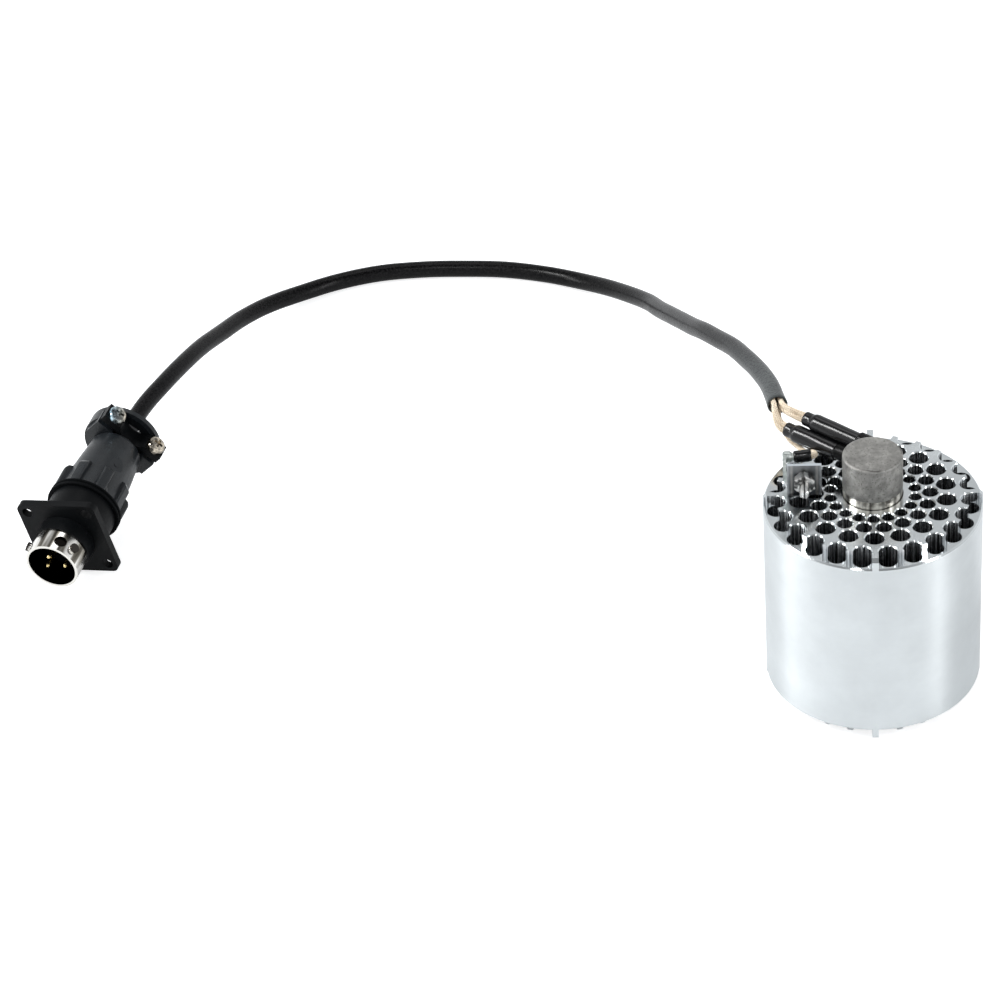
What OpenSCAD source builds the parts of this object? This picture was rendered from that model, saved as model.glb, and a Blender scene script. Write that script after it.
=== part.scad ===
// Heated aluminium tube block with cartridge heater, earth bracket, hose lead and bayonet receptacle.
// Units mm. Block axis is Z, the lower face stands on z = 0, the earth bracket is on the -X side.

/* [Block] */
// Diameter of the block
block_d = 55; // [54:0.5:60]
// Height of the full-diameter body between the two steps
body_h = 52; // [40:1:70]
// Height of the raised face at each end
step_h = 3; // [2:0.5:4]
// Diameter of the raised end faces
face_d = 48.8; // [48:0.1:50]
// Width of the four ribs across each step
rib_w = 1.6; // [1.2:0.1:1.8]
// Bevel on the outer corner of each rib
rib_bevel = 0.9; // [0.3:0.1:1.5]
// Chamfer round the rims of the body
rim_chamfer = 0.4; // [0.2:0.1:0.8]
// Diameter of the central heater bore
heater_bore_d = 15.4; // [15.2:0.1:16.2]
// Thickness left under the heater bore
bore_floor = 4; // [3:0.5:10]
// Chamfer round the rims of the holes
hole_chamfer = 0.25; // [0.1:0.05:0.4]

/* [Tube holes] */
// Pitch circle of the innermost ring of holes
ring_a_pcd = 21.4; // [21:0.1:21.8]
// Hole diameter of the innermost ring
ring_a_hole = 3; // [2.6:0.1:3.2]
// Pitch circle of the second ring
ring_b_pcd = 28.6; // [28.2:0.1:29]
// Hole diameter of the second ring
ring_b_hole = 3.9; // [3.5:0.1:4.1]
// Pitch circle of the third ring
ring_c_pcd = 37.2; // [36.8:0.1:37.6]
// Hole diameter of the third ring
ring_c_hole = 4.8; // [4.4:0.1:5]
// Number of holes in each of the three inner rings
inner_count = 18; // [18:1:18]
// Pitch circle of the outer ring
ring_d_pcd = 48.6; // [48.2:0.1:48.8]
// Hole diameter of the outer ring
ring_d_hole = 4.7; // [4.3:0.1:4.8]
// Number of holes in the outer ring
outer_count = 24; // [24:1:24]

/* [Cartridge heater] */
// Outside diameter of the sheath
sheath_d = 14.9; // [14.5:0.1:15.1]
// Wall of the sheath
sheath_wall = 0.7; // [0.5:0.1:1]
// Sheath standing above the block face
sheath_stand = 2.4; // [1:0.2:5]
// Thickness of the disc closing the sheath
end_disc_t = 1.2; // [1:0.1:2]
// Diameter of the ceramic core
core_d = 9; // [8:0.2:10]
// Gap from the top of the core to the top of the sheath
core_drop = 5; // [4:0.5:8]
// Bore in the core for each terminal pin
core_bore = 1.8; // [1.7:0.1:2.2]
// Diameter of the heating wire
coil_wire = 0.5; // [0.4:0.1:0.7]
// Number of turns of heating wire
coil_turns = 16; // [12:1:22]
// Diameter of the terminal pins
pin_d = 1.4; // [1.2:0.1:1.5]
// Offset of each terminal pin from the axis
pin_x = 2.5; // [2.3:0.1:2.7]
// Depth of the terminal pins in the core
pin_depth = 12; // [8:1:20]
// Distance at which the terminal pins turn to their leads
pin_turn = 2.4; // [2.3:0.1:2.5]
// Outside diameter of the cap
cap_d = 15.1; // [15:0.1:15.6]
// Height of the cap
cap_h = 9.6; // [9.4:0.2:12]
// Wall of the cap
cap_wall = 0.8; // [0.7:0.1:0.9]
// Thickness of the cap's top
cap_top = 1; // [0.8:0.1:1.2]
// Radius of the cap's upper edge
cap_round = 0.6; // [0.4:0.1:0.8]

/* [Lead exit] */
// Direction in which the leads leave the heater, from +X
exit_angle = 142.5; // [135:0.5:145]
// Sideways offset of the front lead
front_off = 2.5; // [2.3:0.1:2.7]
// Height of the front lead above the sheath
front_rise = 3.5; // [3.4:0.1:3.6]
// Sideways offset of the rear lead
rear_off = 5.7; // [5.5:0.1:5.8]
// Height of the rear lead above the sheath
rear_rise = 7; // [6.8:0.1:7.2]
// Diameter of the boot round each lead
boot_d = 4.2; // [4:0.1:4.4]
// Reach of the boot along the front lead
boot_reach_front = 12.5; // [12:0.5:13]
// Reach of the boot along the rear lead
boot_reach_rear = 8; // [7.8:0.2:9]
// Outside diameter of the lead sleeves at the shoulder
sleeve_d = 4.3; // [4:0.1:4.4]
// Outside diameter of the lead sleeves at the boot
sleeve_end_d = 4.6; // [4.4:0.1:4.6]
// Bore of the lead sleeves
sleeve_bore = 2.8; // [2.7:0.05:2.9]
// Diameter of the narrowed sleeve end
neck_d = 3.6; // [3.4:0.1:3.8]
// Length of the narrowed sleeve end
neck_len = 2.2; // [1.5:0.1:3]
// Length of the front sleeve
sleeve_front_len = 16.2; // [15:0.1:17]
// Length of the rear sleeve
sleeve_rear_len = 17.1; // [16:0.1:18]
// Diameter of the crimp splices
crimp_d = 2.6; // [2.4:0.05:2.6]
// Length of the crimp splices
crimp_len = 7; // [6:0.5:8]
// Diameter of one braided strand
strand_d = 1.35; // [1:0.05:1.35]

/* [Earth bracket] */
// Middle of the bracket along X
bracket_x = -17; // [-17.4:0.1:-16.6]
// Front of the upright plate along Y
bracket_y = -1.8; // [-2:0.1:-1.6]
// Width of the bracket
bracket_w = 8.6; // [8:0.1:9]
// Height of the upright plate
bracket_h = 10; // [9.5:0.1:11]
// Length of the foot behind the plate face
foot_len = 8.2; // [8:0.1:9]
// Plate thickness
plate_t = 1; // [0.8:0.1:1]
// Inside bend radius of the plate
plate_bend = 0.5; // [0.4:0.1:0.8]
// Height of the earth bolt above the block face
bolt_rise = 5.7; // [5.5:0.1:6]
// Earth bolt diameter
bolt_d = 2.5; // [2:0.5:2.5]
// Earth bolt standing in front of the plate
bolt_reach = 6.5; // [5:0.5:8]
// Earth nut width across flats
nut_af = 5; // [4:0.5:5]
// Earth nut thickness
nut_t = 2; // [1.6:0.1:2.4]
// Lock washer thickness
washer_t = 0.5; // [0.4:0.1:0.7]
// Head diameter of the small screws
head_d = 4.6; // [4.2:0.1:4.8]
// Head height of the small screws
head_h = 1.6; // [1.4:0.1:1.8]
// Bracket screw diameter
foot_screw_d = 2.5; // [2:0.5:3]
// Length of the bracket screw under its head
foot_screw_len = 7; // [5:0.5:9]
// Thickness of the ring terminal
tag_t = 0.8; // [0.6:0.1:0.8]
// Width of the ring terminal's strap
tag_w = 2.6; // [2:0.1:3]
// Outside diameter of the ring terminal's eye
tag_eye_d = 5; // [4.5:0.1:5.4]
// Outside diameter of the terminal's barrel
barrel_d = 2.2; // [2:0.1:2.4]
// Diameter of the barrel's rounded end
barrel_end_d = 3; // [2.8:0.1:3.2]
// Outside diameter of the sleeve on the barrel
tag_sleeve_d = 2.8; // [2.7:0.1:3]

/* [Receptacle] */
// Side of the square flange
flange_side = 23.8; // [23.4:0.1:24.4]
// Thickness of the flange
flange_t = 2.2; // [1.6:0.1:2.6]
// Radius of the flange corners
flange_round = 2; // [1.5:0.1:2.4]
// Spacing of the four flange holes
flange_pitch = 18.26; // [18:0.01:18.5]
// Diameter of the flange holes
flange_hole = 3.05; // [2.9:0.05:3.2]
// Diameter of the moulded neck in front of the flange
neck_front_d = 15.8; // [15.4:0.1:16.2]
// Length of the moulded neck in front of the flange
neck_front_len = 4.5; // [4:0.1:5]
// Outside diameter of the metal shell
shell_d = 15; // [14.8:0.05:15.2]
// Front of the metal shell ahead of the flange
shell_reach = 11.2; // [10.5:0.1:12]
// Bore of the metal shell
shell_bore = 13.4; // [13.2:0.1:13.5]
// Depth of the metal shell's seat behind the flange face
shell_in = 2; // [1.5:0.1:2.1]
// Depth of the contact insert behind the flange face
insert_depth = 8; // [7:0.5:9]
// Height of the contact insert ahead of the flange face
insert_face = 3; // [2.5:0.1:3.5]
// Diameter of the barrel behind the flange
barrel_rear_d = 18.8; // [18:0.1:19.5]
// Length of the barrel behind the flange
barrel_rear_len = 8.8; // [8:0.1:10]
// Diameter of the contact pins
contact_d = 1.3; // [1.1:0.1:1.6]
// Reach of the contact pins ahead of the flange face
contact_reach = 9.5; // [9:0.1:10]
// Extra reach of the first contact pin
contact_extra = 1.5; // [0.5:0.1:1.5]
// Tail of the contact pins behind the insert
contact_tail = 4; // [3:0.5:6]
// Radius of the circle of contacts
contact_r = 3.1; // [2.8:0.1:3.4]
// Diameter of the collar ring
collar_d = 21; // [20:0.1:22]
// Thickness of the collar ring
collar_t = 2; // [1.8:0.1:2.5]
// Depth of the groove round the collar ring
collar_groove = 0.4; // [0.2:0.1:0.6]

/* [Backshell] */
// Diameter of the backshell at the collar
back_d1 = 18.5; // [18:0.1:19]
// Diameter of the backshell at mid length
back_d2 = 16.1; // [15.6:0.1:16.6]
// Diameter of the backshell at its rear
back_d3 = 14; // [13.6:0.1:14]
// Length of the backshell's first taper
back_l1 = 14.5; // [13:0.1:16]
// Length of the backshell's second taper
back_l2 = 8.5; // [8:0.1:9.5]
// Wall of the backshell
back_wall = 1.8; // [1.4:0.1:2]
// Number of grip ribs
grip_count = 8; // [6:2:8]
// Width of a grip rib
grip_w = 3; // [2.4:0.1:3.4]
// Length of the grip ribs
grip_len = 8.5; // [7:0.1:10]
// Radius to the top of the grip ribs
grip_r = 10.3; // [10:0.1:10.6]
// Rounding along the edges of the grip ribs
grip_round = 0.7; // [0.4:0.1:1]
// Diameter of the round recess in the backshell
mark_d = 4.6; // [4:0.1:5]
// Diameter of the small recess behind it
mark_small_d = 1.8; // [1.4:0.1:2.2]
// Depth of the two recesses
mark_depth = 0.25; // [0.15:0.05:0.4]
// Diameter of the rear hoop
hoop_d = 21; // [20.4:0.1:22]
// Wall of the rear hoop
hoop_wall = 1.6; // [1.2:0.1:2]
// Width of the rear hoop
hoop_w = 4.5; // [4:0.1:5]
// Spacing of the two clamp screws
clamp_pitch = 13.8; // [13.4:0.1:14]
// Height of the clamp seat above the axis
clamp_seat = 5.9; // [5.7:0.1:6.1]
// Gap between the two halves of the clamp
clamp_gap = 1.4; // [1.2:0.1:1.6]
// Middle of the clamp behind the end of the backshell
clamp_back = 2.5; // [2.4:0.1:2.6]
// Length of the saddle's ears along the cable
clamp_ear = 5; // [4.8:0.1:5.2]
// Reach of the ears outside each clamp screw
clamp_ear_out = 3; // [2.6:0.1:3.2]
// Thickness of the clamp saddle
saddle_t = 2.4; // [2:0.1:2.6]
// Thickness of the saddle's curved strap
strap_t = 1.5; // [1.3:0.1:1.7]
// Clearance of the strap over the grommet
strap_gap = 0.2; // [0.15:0.05:0.3]
// Clearance round the strap in the backshell
strap_room = 0.4; // [0.3:0.1:0.5]
// Diameter of the clamp screws' heads
clamp_head_d = 5.2; // [4.8:0.1:5.4]
// Height of the clamp screws' heads
clamp_head_h = 2; // [1.8:0.1:2.2]
// Diameter of the clamp screws
clamp_screw_d = 2.5; // [2:0.5:2.5]
// Outside diameter of the cable grommet
grommet_d = 7.6; // [7:0.1:7.8]
// Bore of the cable grommet
grommet_bore = 3.4; // [3.2:0.1:3.8]

/* [Hose lead] */
// Outside diameter of the hose
hose_d = 5; // [4.6:0.1:5.2]

/* [Fits] */
// Clearance round screws, pins and the core
fit_gap = 0.05; // [0.05:0.01:0.1]

/* [Hidden] */
$fn = 48;

eps = 0.01;
block_h = body_h + 2 * step_h;
sheath_bottom = bore_floor;
sheath_top = block_h + sheath_stand;
sheath_in = sheath_d - 2 * sheath_wall;
disc_top = sheath_bottom + end_disc_t;
core_top = sheath_top - core_drop;
coil_r = (core_d / 2 + coil_wire / 2 + fit_gap) / cos(18);
coil_low = disc_top + 3;
coil_high = core_top - 4;
pin_low = core_top - pin_depth;
cap_in = cap_d - 2 * cap_wall;
front_z = sheath_top + front_rise;
rear_z = sheath_top + rear_rise;
front_end = boot_reach_front + sleeve_front_len;
rear_end = boot_reach_rear + sleeve_rear_len;
crimp_start = 2.5;
bolt_z = block_h + bolt_rise;
plate_back = bracket_y + plate_t;
tag_back = plate_back + tag_t;
tag_side = bracket_x - bracket_w / 2 - 0.2;
barrel_y = tag_back + 6;
foot_screw_pos = [ring_c_pcd / 2 * cos(170), ring_c_pcd / 2 * sin(170)];

collar_z = -flange_t - barrel_rear_len;
back_z = collar_z - collar_t;
back_mid = back_z - back_l1;
back_end = back_mid - back_l2;
spigot_d = 14.6;
spigot_len = 4;
shell_seat_d = shell_d - 0.6;
hoop_front = back_end - 2;
hoop_back = hoop_front - hoop_w;
clamp_z = back_end - clamp_back;
clamp_turn = -53.6;

// Pose of the receptacle as it lies beside the block
plug_pos = [-217, 44.2, 13.25];
plug_turn = [96.5, 0, -15];
plug_roll = 9.3;

// Route of the hose from its mouth to the cable clamp
hose_route = [
  [-23.5, 26.5, 66.5], [-25.5, 38.5, 64], [-28.5, 50.5, 60.5], [-32, 62, 56.5],
  [-35.5, 73.5, 52], [-39.5, 84.5, 47], [-43.5, 95.5, 42], [-47, 106, 36.5],
  [-50.5, 117, 31], [-54, 128, 25.5], [-57.5, 139, 20], [-61, 150, 15],
  [-66.5, 160.5, 10.5], [-73.5, 170.5, 6.5], [-82.5, 179, 3.5], [-93.5, 184.5, 2.6],
  [-106, 187.5, 2.6], [-119, 188.5, 2.6], [-131.5, 188.5, 2.6], [-144, 187, 2.6],
  [-156, 183, 2.6], [-166.5, 176, 3.5], [-175.5, 167, 5.5], [-182, 156.5, 8],
  [-186.5, 145, 11], [-190.5, 133, 14.5], [-194, 121.5, 17], [-198, 109.5, 18.5],
  [-202.5, 97.5, 18.8], [-206.1, 85, 18.1]
];
hose_in = [-2, 12, -2.5];
hose_out = [-0.257, -0.96, -0.113];

// Route of the earth strand from its barrel, under the front sleeve, to the hose mouth
earth_route = [
  [-15.2, 6, 65], [-14.4, 6.6, 64.9], [-14.2, 8, 64.5], [-14.9, 9.8, 63.6],
  [-15.9, 12, 61.9], [-17.2, 14.4, 60.8], [-18.8, 17, 60.5], [-20.5, 19.3, 60.7],
  [-22, 21.5, 62], [-23, 23.4, 63.7]
];

// Space curves and swept tubes

function unit(v) = v / norm(v);

function tangent(p, i, d0, d1) =
  i == 0 ? unit(d0)
  : i == len(p) - 1 ? unit(d1)
  : unit(unit(p[i + 1] - p[i]) + unit(p[i] - p[i - 1]));

function bezier(a, b, c, d, n) = [
  for (i = [0:n]) let (t = i / n, s = 1 - t)
    s * s * s * a + 3 * s * s * t * b + 3 * s * t * t * c + t * t * t * d
];

module swept_tube(p, r, sides, d0, d1) {
  n = len(p);
  pts = [
    for (i = [0:n - 1])
      let (t = tangent(p, i, d0, d1), s = unit(cross(t, [0, 0, 1])), w = cross(s, t))
        for (k = [0:sides - 1])
          p[i] + r * (cos(360 * k / sides) * s + sin(360 * k / sides) * w)
  ];
  skin = [
    for (i = [0:n - 2]) for (k = [0:sides - 1])
      let (a = i * sides + k, b = i * sides + (k + 1) % sides)
        each [[a, b, b + sides], [a, b + sides, a + sides]]
  ];
  start_cap = [[for (k = [sides - 1:-1:0]) k]];
  end_cap = [[for (k = [0:sides - 1]) (n - 1) * sides + k]];
  polyhedron(points = pts, faces = concat(skin, start_cap, end_cap), convexity = 6);
}

// Placing helpers

module along_exit(off, z) {
  rotate([0, 0, exit_angle])
    translate([0, -off, z])
      rotate([0, 90, 0])
        children();
}

module at_plug() {
  translate(plug_pos)
    rotate(plug_turn)
      rotate([0, 0, plug_roll])
        children();
}

module at_clamp() {
  at_plug()
    rotate([0, 0, clamp_turn])
      children();
}

module rod(a, b, d) {
  v = b - a;
  translate(a)
    rotate([0, acos(v[2] / norm(v)), atan2(v[1], v[0])])
      cylinder(d = d, h = norm(v));
}

// Block

module block_blank() {
  r = block_d / 2;
  f = face_d / 2;
  c = rim_chamfer;
  rotate_extrude($fn = 120)
    polygon([
      [0, 0], [f, 0], [f, step_h], [r - c, step_h], [r, step_h + c],
      [r, block_h - step_h - c], [r - c, block_h - step_h], [f, block_h - step_h],
      [f, block_h], [0, block_h]
    ]);
}

module rib_envelope() {
  r = block_d / 2;
  in = face_d / 2 - 3;
  b = rib_bevel;
  rotate_extrude($fn = 120)
    polygon([
      [in, block_h - step_h - 1], [r, block_h - step_h - 1], [r, block_h - b],
      [r - b, block_h], [in, block_h]
    ]);
  rotate_extrude($fn = 120)
    polygon([
      [in, step_h + 1], [in, 0], [r - b, 0], [r, b], [r, step_h + 1]
    ]);
}

module end_ribs() {
  intersection() {
    rib_envelope();
    for (a = [0, 90])
      rotate([0, 0, a])
        translate([-block_d / 2 - 1, -rib_w / 2, -1])
          cube([block_d + 2, rib_w, block_h + 2]);
  }
}

// a cone that chamfers the rim of a hole in the plane z = 0, from above
module rim_cone(hole) {
  c = hole_chamfer;
  translate([0, 0, -c])
    cylinder(d1 = hole, d2 = hole + 4 * c, h = 2 * c, $fn = 32);
}

module hole_ring(pcd, hole, count, first, skip = -1) {
  for (i = [0:count - 1])
    if (i != skip)
      rotate([0, 0, first + i * 360 / count])
        translate([pcd / 2, 0, 0]) {
          translate([0, 0, -1])
            cylinder(d = hole, h = block_h + 2, $fn = 32);
          translate([0, 0, block_h])
            rim_cone(hole);
          mirror([0, 0, 1])
            rim_cone(hole);
        }
}

module heating_block() {
  color([0.83, 0.84, 0.86])
    difference() {
      union() {
        block_blank();
        end_ribs();
      }
      hole_ring(ring_a_pcd, ring_a_hole, inner_count, 10);
      hole_ring(ring_b_pcd, ring_b_hole, inner_count, 0);
      // one hole of this ring gives way to the tapped hole of the bracket
      hole_ring(ring_c_pcd, ring_c_hole, inner_count, 10, 8);
      hole_ring(ring_d_pcd, ring_d_hole, outer_count, 7.5);
      translate([0, 0, bore_floor])
        cylinder(d = heater_bore_d, h = block_h, $fn = 96);
      translate([foot_screw_pos[0], foot_screw_pos[1], block_h + plate_t - foot_screw_len - 1])
        cylinder(d = foot_screw_d + 2 * fit_gap, h = foot_screw_len + 1, $fn = 32);
    }
}

// Cartridge heater

module heater_sheath() {
  color([0.72, 0.72, 0.72])
    translate([0, 0, sheath_bottom])
      difference() {
        cylinder(d = sheath_d, h = sheath_top - sheath_bottom, $fn = 96);
        translate([0, 0, -1])
          cylinder(d = sheath_in, h = sheath_top - sheath_bottom + 2, $fn = 96);
      }
}

module sheath_end_disc() {
  color([0.66, 0.66, 0.67])
    translate([0, 0, sheath_bottom])
      cylinder(d = sheath_in - 2 * fit_gap, h = end_disc_t, $fn = 96);
}

module ceramic_core() {
  color([0.94, 0.93, 0.88])
    difference() {
      translate([0, 0, disc_top])
        cylinder(d = core_d, h = core_top - disc_top, $fn = 64);
      for (y = [-pin_x, pin_x])
        rotate([0, 0, exit_angle])
          translate([0, y, pin_low])
            cylinder(d = core_bore, h = block_h, $fn = 24);
    }
}

module heating_coil() {
  rings = coil_turns * 10;
  path = [
    for (i = [0:rings])
      [coil_r * cos(36 * i), coil_r * sin(36 * i), coil_low + (coil_high - coil_low) * i / rings]
  ];
  color([0.62, 0.56, 0.5])
    swept_tube(path, coil_wire / 2, 6, [0, 1, 0], [0, 1, 0]);
}

module insulating_fill() {
  color([0.9, 0.9, 0.88])
    difference() {
      translate([0, 0, disc_top])
        cylinder(d = sheath_in - 2 * fit_gap, h = core_top - disc_top, $fn = 96);
      translate([0, 0, disc_top - 1])
        cylinder(r = coil_r + coil_wire / 2 + fit_gap, h = sheath_top, $fn = 64);
    }
}

// each pin rises from the core and turns to its lead
module terminal_pins() {
  color([0.78, 0.76, 0.72])
    rotate([0, 0, exit_angle]) {
      union() {
        rod([0, -pin_x, pin_low], [0, -pin_x, front_z], pin_d);
        translate([0, -pin_x, front_z])
          sphere(d = pin_d + 0.2, $fn = 32);
        rod([0, -pin_x, front_z], [pin_turn, -front_off, front_z], pin_d);
        translate([pin_turn, -front_off, front_z])
          sphere(d = pin_d + 0.2, $fn = 32);
        rod([pin_turn, -front_off, front_z], [boot_reach_front + crimp_start, -front_off, front_z], pin_d);
      }
      union() {
        rod([0, pin_x, pin_low], [0, pin_x, rear_z], pin_d);
        translate([0, pin_x, rear_z])
          sphere(d = pin_d + 0.2, $fn = 32);
        rod([0, pin_x, rear_z], [pin_turn, -rear_off, rear_z], pin_d);
        translate([pin_turn, -rear_off, rear_z])
          sphere(d = pin_d + 0.2, $fn = 32);
        rod([pin_turn, -rear_off, rear_z], [boot_reach_rear + crimp_start, -rear_off, rear_z], pin_d);
      }
    }
}

module heater_cap() {
  c = cap_round;
  color([0.54, 0.53, 0.51])
    difference() {
      rotate_extrude($fn = 96)
        polygon([
          [0, sheath_top], [cap_d / 2, sheath_top],
          for (a = [0:22.5:90])
            [cap_d / 2 - c + c * cos(a), sheath_top + cap_h - c + c * sin(a)],
          [0, sheath_top + cap_h]
        ]);
      translate([0, 0, sheath_top - 1])
        cylinder(d = cap_in, h = cap_h - cap_top + 1, $fn = 96);
      along_exit(front_off, front_z)
        cylinder(d = pin_d + 6 * fit_gap, h = cap_d, $fn = 24);
      along_exit(rear_off, rear_z)
        translate([0, 0, pin_turn - pin_d / 2])
          cylinder(d = pin_d + 6 * fit_gap, h = cap_d, $fn = 24);
    }
}

module end_seal() {
  color([0.7, 0.66, 0.58])
    difference() {
      translate([0, 0, core_top])
        cylinder(d = sheath_in - 2 * fit_gap, h = core_drop, $fn = 96);
      for (y = [-pin_x, pin_x])
        rotate([0, 0, exit_angle])
          translate([0, y, core_top - 1])
            cylinder(d = pin_d + 2 * fit_gap, h = core_drop + 2, $fn = 24);
    }
}

// Leads

module lead_boot() {
  tilt = atan2(rear_rise - front_rise, rear_off - front_off);
  web = norm([rear_off - front_off, rear_rise - front_rise]);
  color([0.05, 0.05, 0.055])
    difference() {
      union() {
        along_exit(front_off, front_z)
          cylinder(d = boot_d, h = boot_reach_front, $fn = 48);
        along_exit(rear_off, rear_z)
          cylinder(d = boot_d, h = boot_reach_rear, $fn = 48);
        rotate([0, 0, exit_angle])
          translate([0, -front_off, front_z])
            rotate([-tilt, 0, 0])
              translate([0, -web, -boot_d / 2 + 0.3])
                cube([boot_reach_rear, web, boot_d - 0.6]);
      }
      translate([0, 0, sheath_top - 5])
        cylinder(d = cap_d, h = cap_h + 10, $fn = 96);
      along_exit(front_off, front_z)
        cylinder(d = pin_d + 2 * fit_gap, h = boot_reach_front + 1, $fn = 24);
      along_exit(rear_off, rear_z)
        cylinder(d = pin_d + 2 * fit_gap, h = boot_reach_rear + 1, $fn = 24);
    }
}

module sleeve(len) {
  shoulder = len - neck_len;
  difference() {
    rotate_extrude($fn = 48)
      polygon([
        [0, 0], [sleeve_end_d / 2 - 0.2, 0], [sleeve_end_d / 2, 0.3], [sleeve_d / 2, shoulder - 1.8],
        [sleeve_d / 2 - 0.1, shoulder - 1.1], [neck_d / 2, shoulder], [neck_d / 2, len], [0, len]
      ]);
    translate([0, 0, -1])
      cylinder(d = sleeve_bore, h = len + 2, $fn = 32);
  }
}

module lead_sleeve_front() {
  color([0.05, 0.05, 0.055])
    along_exit(front_off, front_z)
      translate([0, 0, boot_reach_front])
        sleeve(sleeve_front_len);
}

module lead_sleeve_rear() {
  color([0.05, 0.05, 0.055])
    along_exit(rear_off, rear_z)
      translate([0, 0, boot_reach_rear])
        sleeve(sleeve_rear_len);
}

module splice() {
  difference() {
    cylinder(d = crimp_d, h = crimp_len, $fn = 32);
    translate([0, 0, -1])
      cylinder(d = pin_d + 2 * fit_gap, h = 1 + crimp_len / 2, $fn = 24);
  }
}

module crimp_splices() {
  color([0.75, 0.76, 0.78]) {
    along_exit(front_off, front_z)
      translate([0, 0, boot_reach_front + crimp_start - crimp_len / 4])
        splice();
    along_exit(rear_off, rear_z)
      translate([0, 0, boot_reach_rear + crimp_start - crimp_len / 4])
        splice();
  }
}

// the direction of the exit and the point at a length along one of the leads
exit_dir = [cos(exit_angle), sin(exit_angle), 0];
exit_side = [sin(exit_angle), -cos(exit_angle), 0];
function exit_point(len, off, z) = len * exit_dir + off * exit_side + [0, 0, z];

mouth = hose_route[0];
mouth_dir = unit(hose_in);
mouth_side = unit(cross(mouth_dir, [0, 0, 1]));
mouth_up = cross(mouth_side, mouth_dir);
pair_dir = unit([0.438, 0.571, 0.694]);

// one strand from its splice through the sleeve and over to the hose mouth
module strand(start, end, off, z, s, across, bow0, bow1, spread) {
  shift = s * (strand_d / 2 + 0.03) * pair_dir;
  wide = s * (strand_d / 2 + spread) * pair_dir;
  wide_up = s * (strand_d / 2 + spread) * mouth_up;
  a = exit_point(end, off, z);
  d = mouth + across * mouth_side + s * (strand_d / 2 + 0.04) * mouth_up;
  inside = [for (i = [0:2]) exit_point(start + (end - start) * i / 3, off, z) + shift];
  free = bezier(a + shift, a + bow0 * exit_dir + wide,
    mouth + across * mouth_side + wide_up - bow1 * mouth_dir, d, 9);
  swept_tube(concat(inside, free), strand_d / 2, 8, exit_dir, mouth_dir);
}

module lead_front() {
  start = boot_reach_front + crimp_start + crimp_len * 3 / 4 + 0.05;
  color([0.88, 0.8, 0.68])
    for (s = [-1, 1])
      strand(start, front_end, front_off, front_z, s, -0.98, 4, 3.2, 0.6);
}

module lead_rear() {
  start = boot_reach_rear + crimp_start + crimp_len * 3 / 4 + 0.05;
  color([0.88, 0.8, 0.68])
    for (s = [-1, 1])
      strand(start, rear_end, rear_off, rear_z, s, 0.98, 3.6, 3.4, 0.4);
}

module lead_earth() {
  first = [earth_route[0] - [2.4, 0, 0], earth_route[0] - [1.2, 0, 0]];
  last = mouth - 1.6 * mouth_up;
  color([0.88, 0.8, 0.68])
    swept_tube(concat(first, earth_route, [last]), strand_d / 2, 8, [1, 0, 0], mouth_dir);
}

// Earth bracket

module earth_bracket() {
  x0 = bracket_x - bracket_w / 2;
  ro = plate_bend + plate_t;
  color([0.76, 0.77, 0.78])
    difference() {
      union() {
        translate([x0, bracket_y, block_h + ro - eps])
          cube([bracket_w, plate_t, bracket_h - ro + eps]);
        translate([x0, bracket_y + ro - eps, block_h])
          cube([bracket_w, foot_len - ro + eps, plate_t]);
        translate([x0, bracket_y + ro, block_h + ro])
          rotate([90, 0, 90])
            rotate([0, 0, 180])
              difference() {
                intersection() {
                  cylinder(r = ro, h = bracket_w, $fn = 48);
                  cube([ro + 1, ro + 1, bracket_w]);
                }
                translate([0, 0, -1])
                  cylinder(r = plate_bend, h = bracket_w + 2, $fn = 48);
              }
      }
      translate([bracket_x, bracket_y - 1, bolt_z])
        rotate([-90, 0, 0])
          cylinder(d = bolt_d + 4 * fit_gap, h = plate_t + 2, $fn = 32);
      translate([foot_screw_pos[0], foot_screw_pos[1], block_h - 1])
        cylinder(d = foot_screw_d + 4 * fit_gap, h = plate_t + 2, $fn = 32);
    }
}

module pan_head(d, h) {
  r = d / 2;
  difference() {
    rotate_extrude($fn = 48)
      polygon([
        [0, 0], [r, 0], [r, h * 0.45], [r * 0.93, h * 0.68], [r * 0.75, h * 0.88],
        [r * 0.45, h * 0.98], [0, h]
      ]);
    translate([0, 0, h])
      for (a = [0, 90])
        rotate([0, 0, a])
          translate([-r * 0.5, -d * 0.07, -h * 0.5])
            cube([r, d * 0.14, h]);
  }
}

module bracket_screw() {
  color([0.8, 0.8, 0.81])
    translate([foot_screw_pos[0], foot_screw_pos[1], block_h + plate_t]) {
      pan_head(head_d, head_h);
      translate([0, 0, -foot_screw_len])
        cylinder(d = foot_screw_d, h = foot_screw_len + eps, $fn = 32);
    }
}

module earth_bolt() {
  len = bolt_reach + plate_t + tag_t;
  color([0.8, 0.8, 0.81])
    translate([bracket_x, tag_back, bolt_z])
      rotate([-90, 0, 0]) {
        pan_head(head_d, head_h);
        translate([0, 0, -len])
          rotate_extrude($fn = 32)
            polygon([
              [0, 0], [bolt_d / 2 - 0.3, 0], [bolt_d / 2, 0.3], [bolt_d / 2, len + eps], [0, len + eps]
            ]);
      }
}

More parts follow.
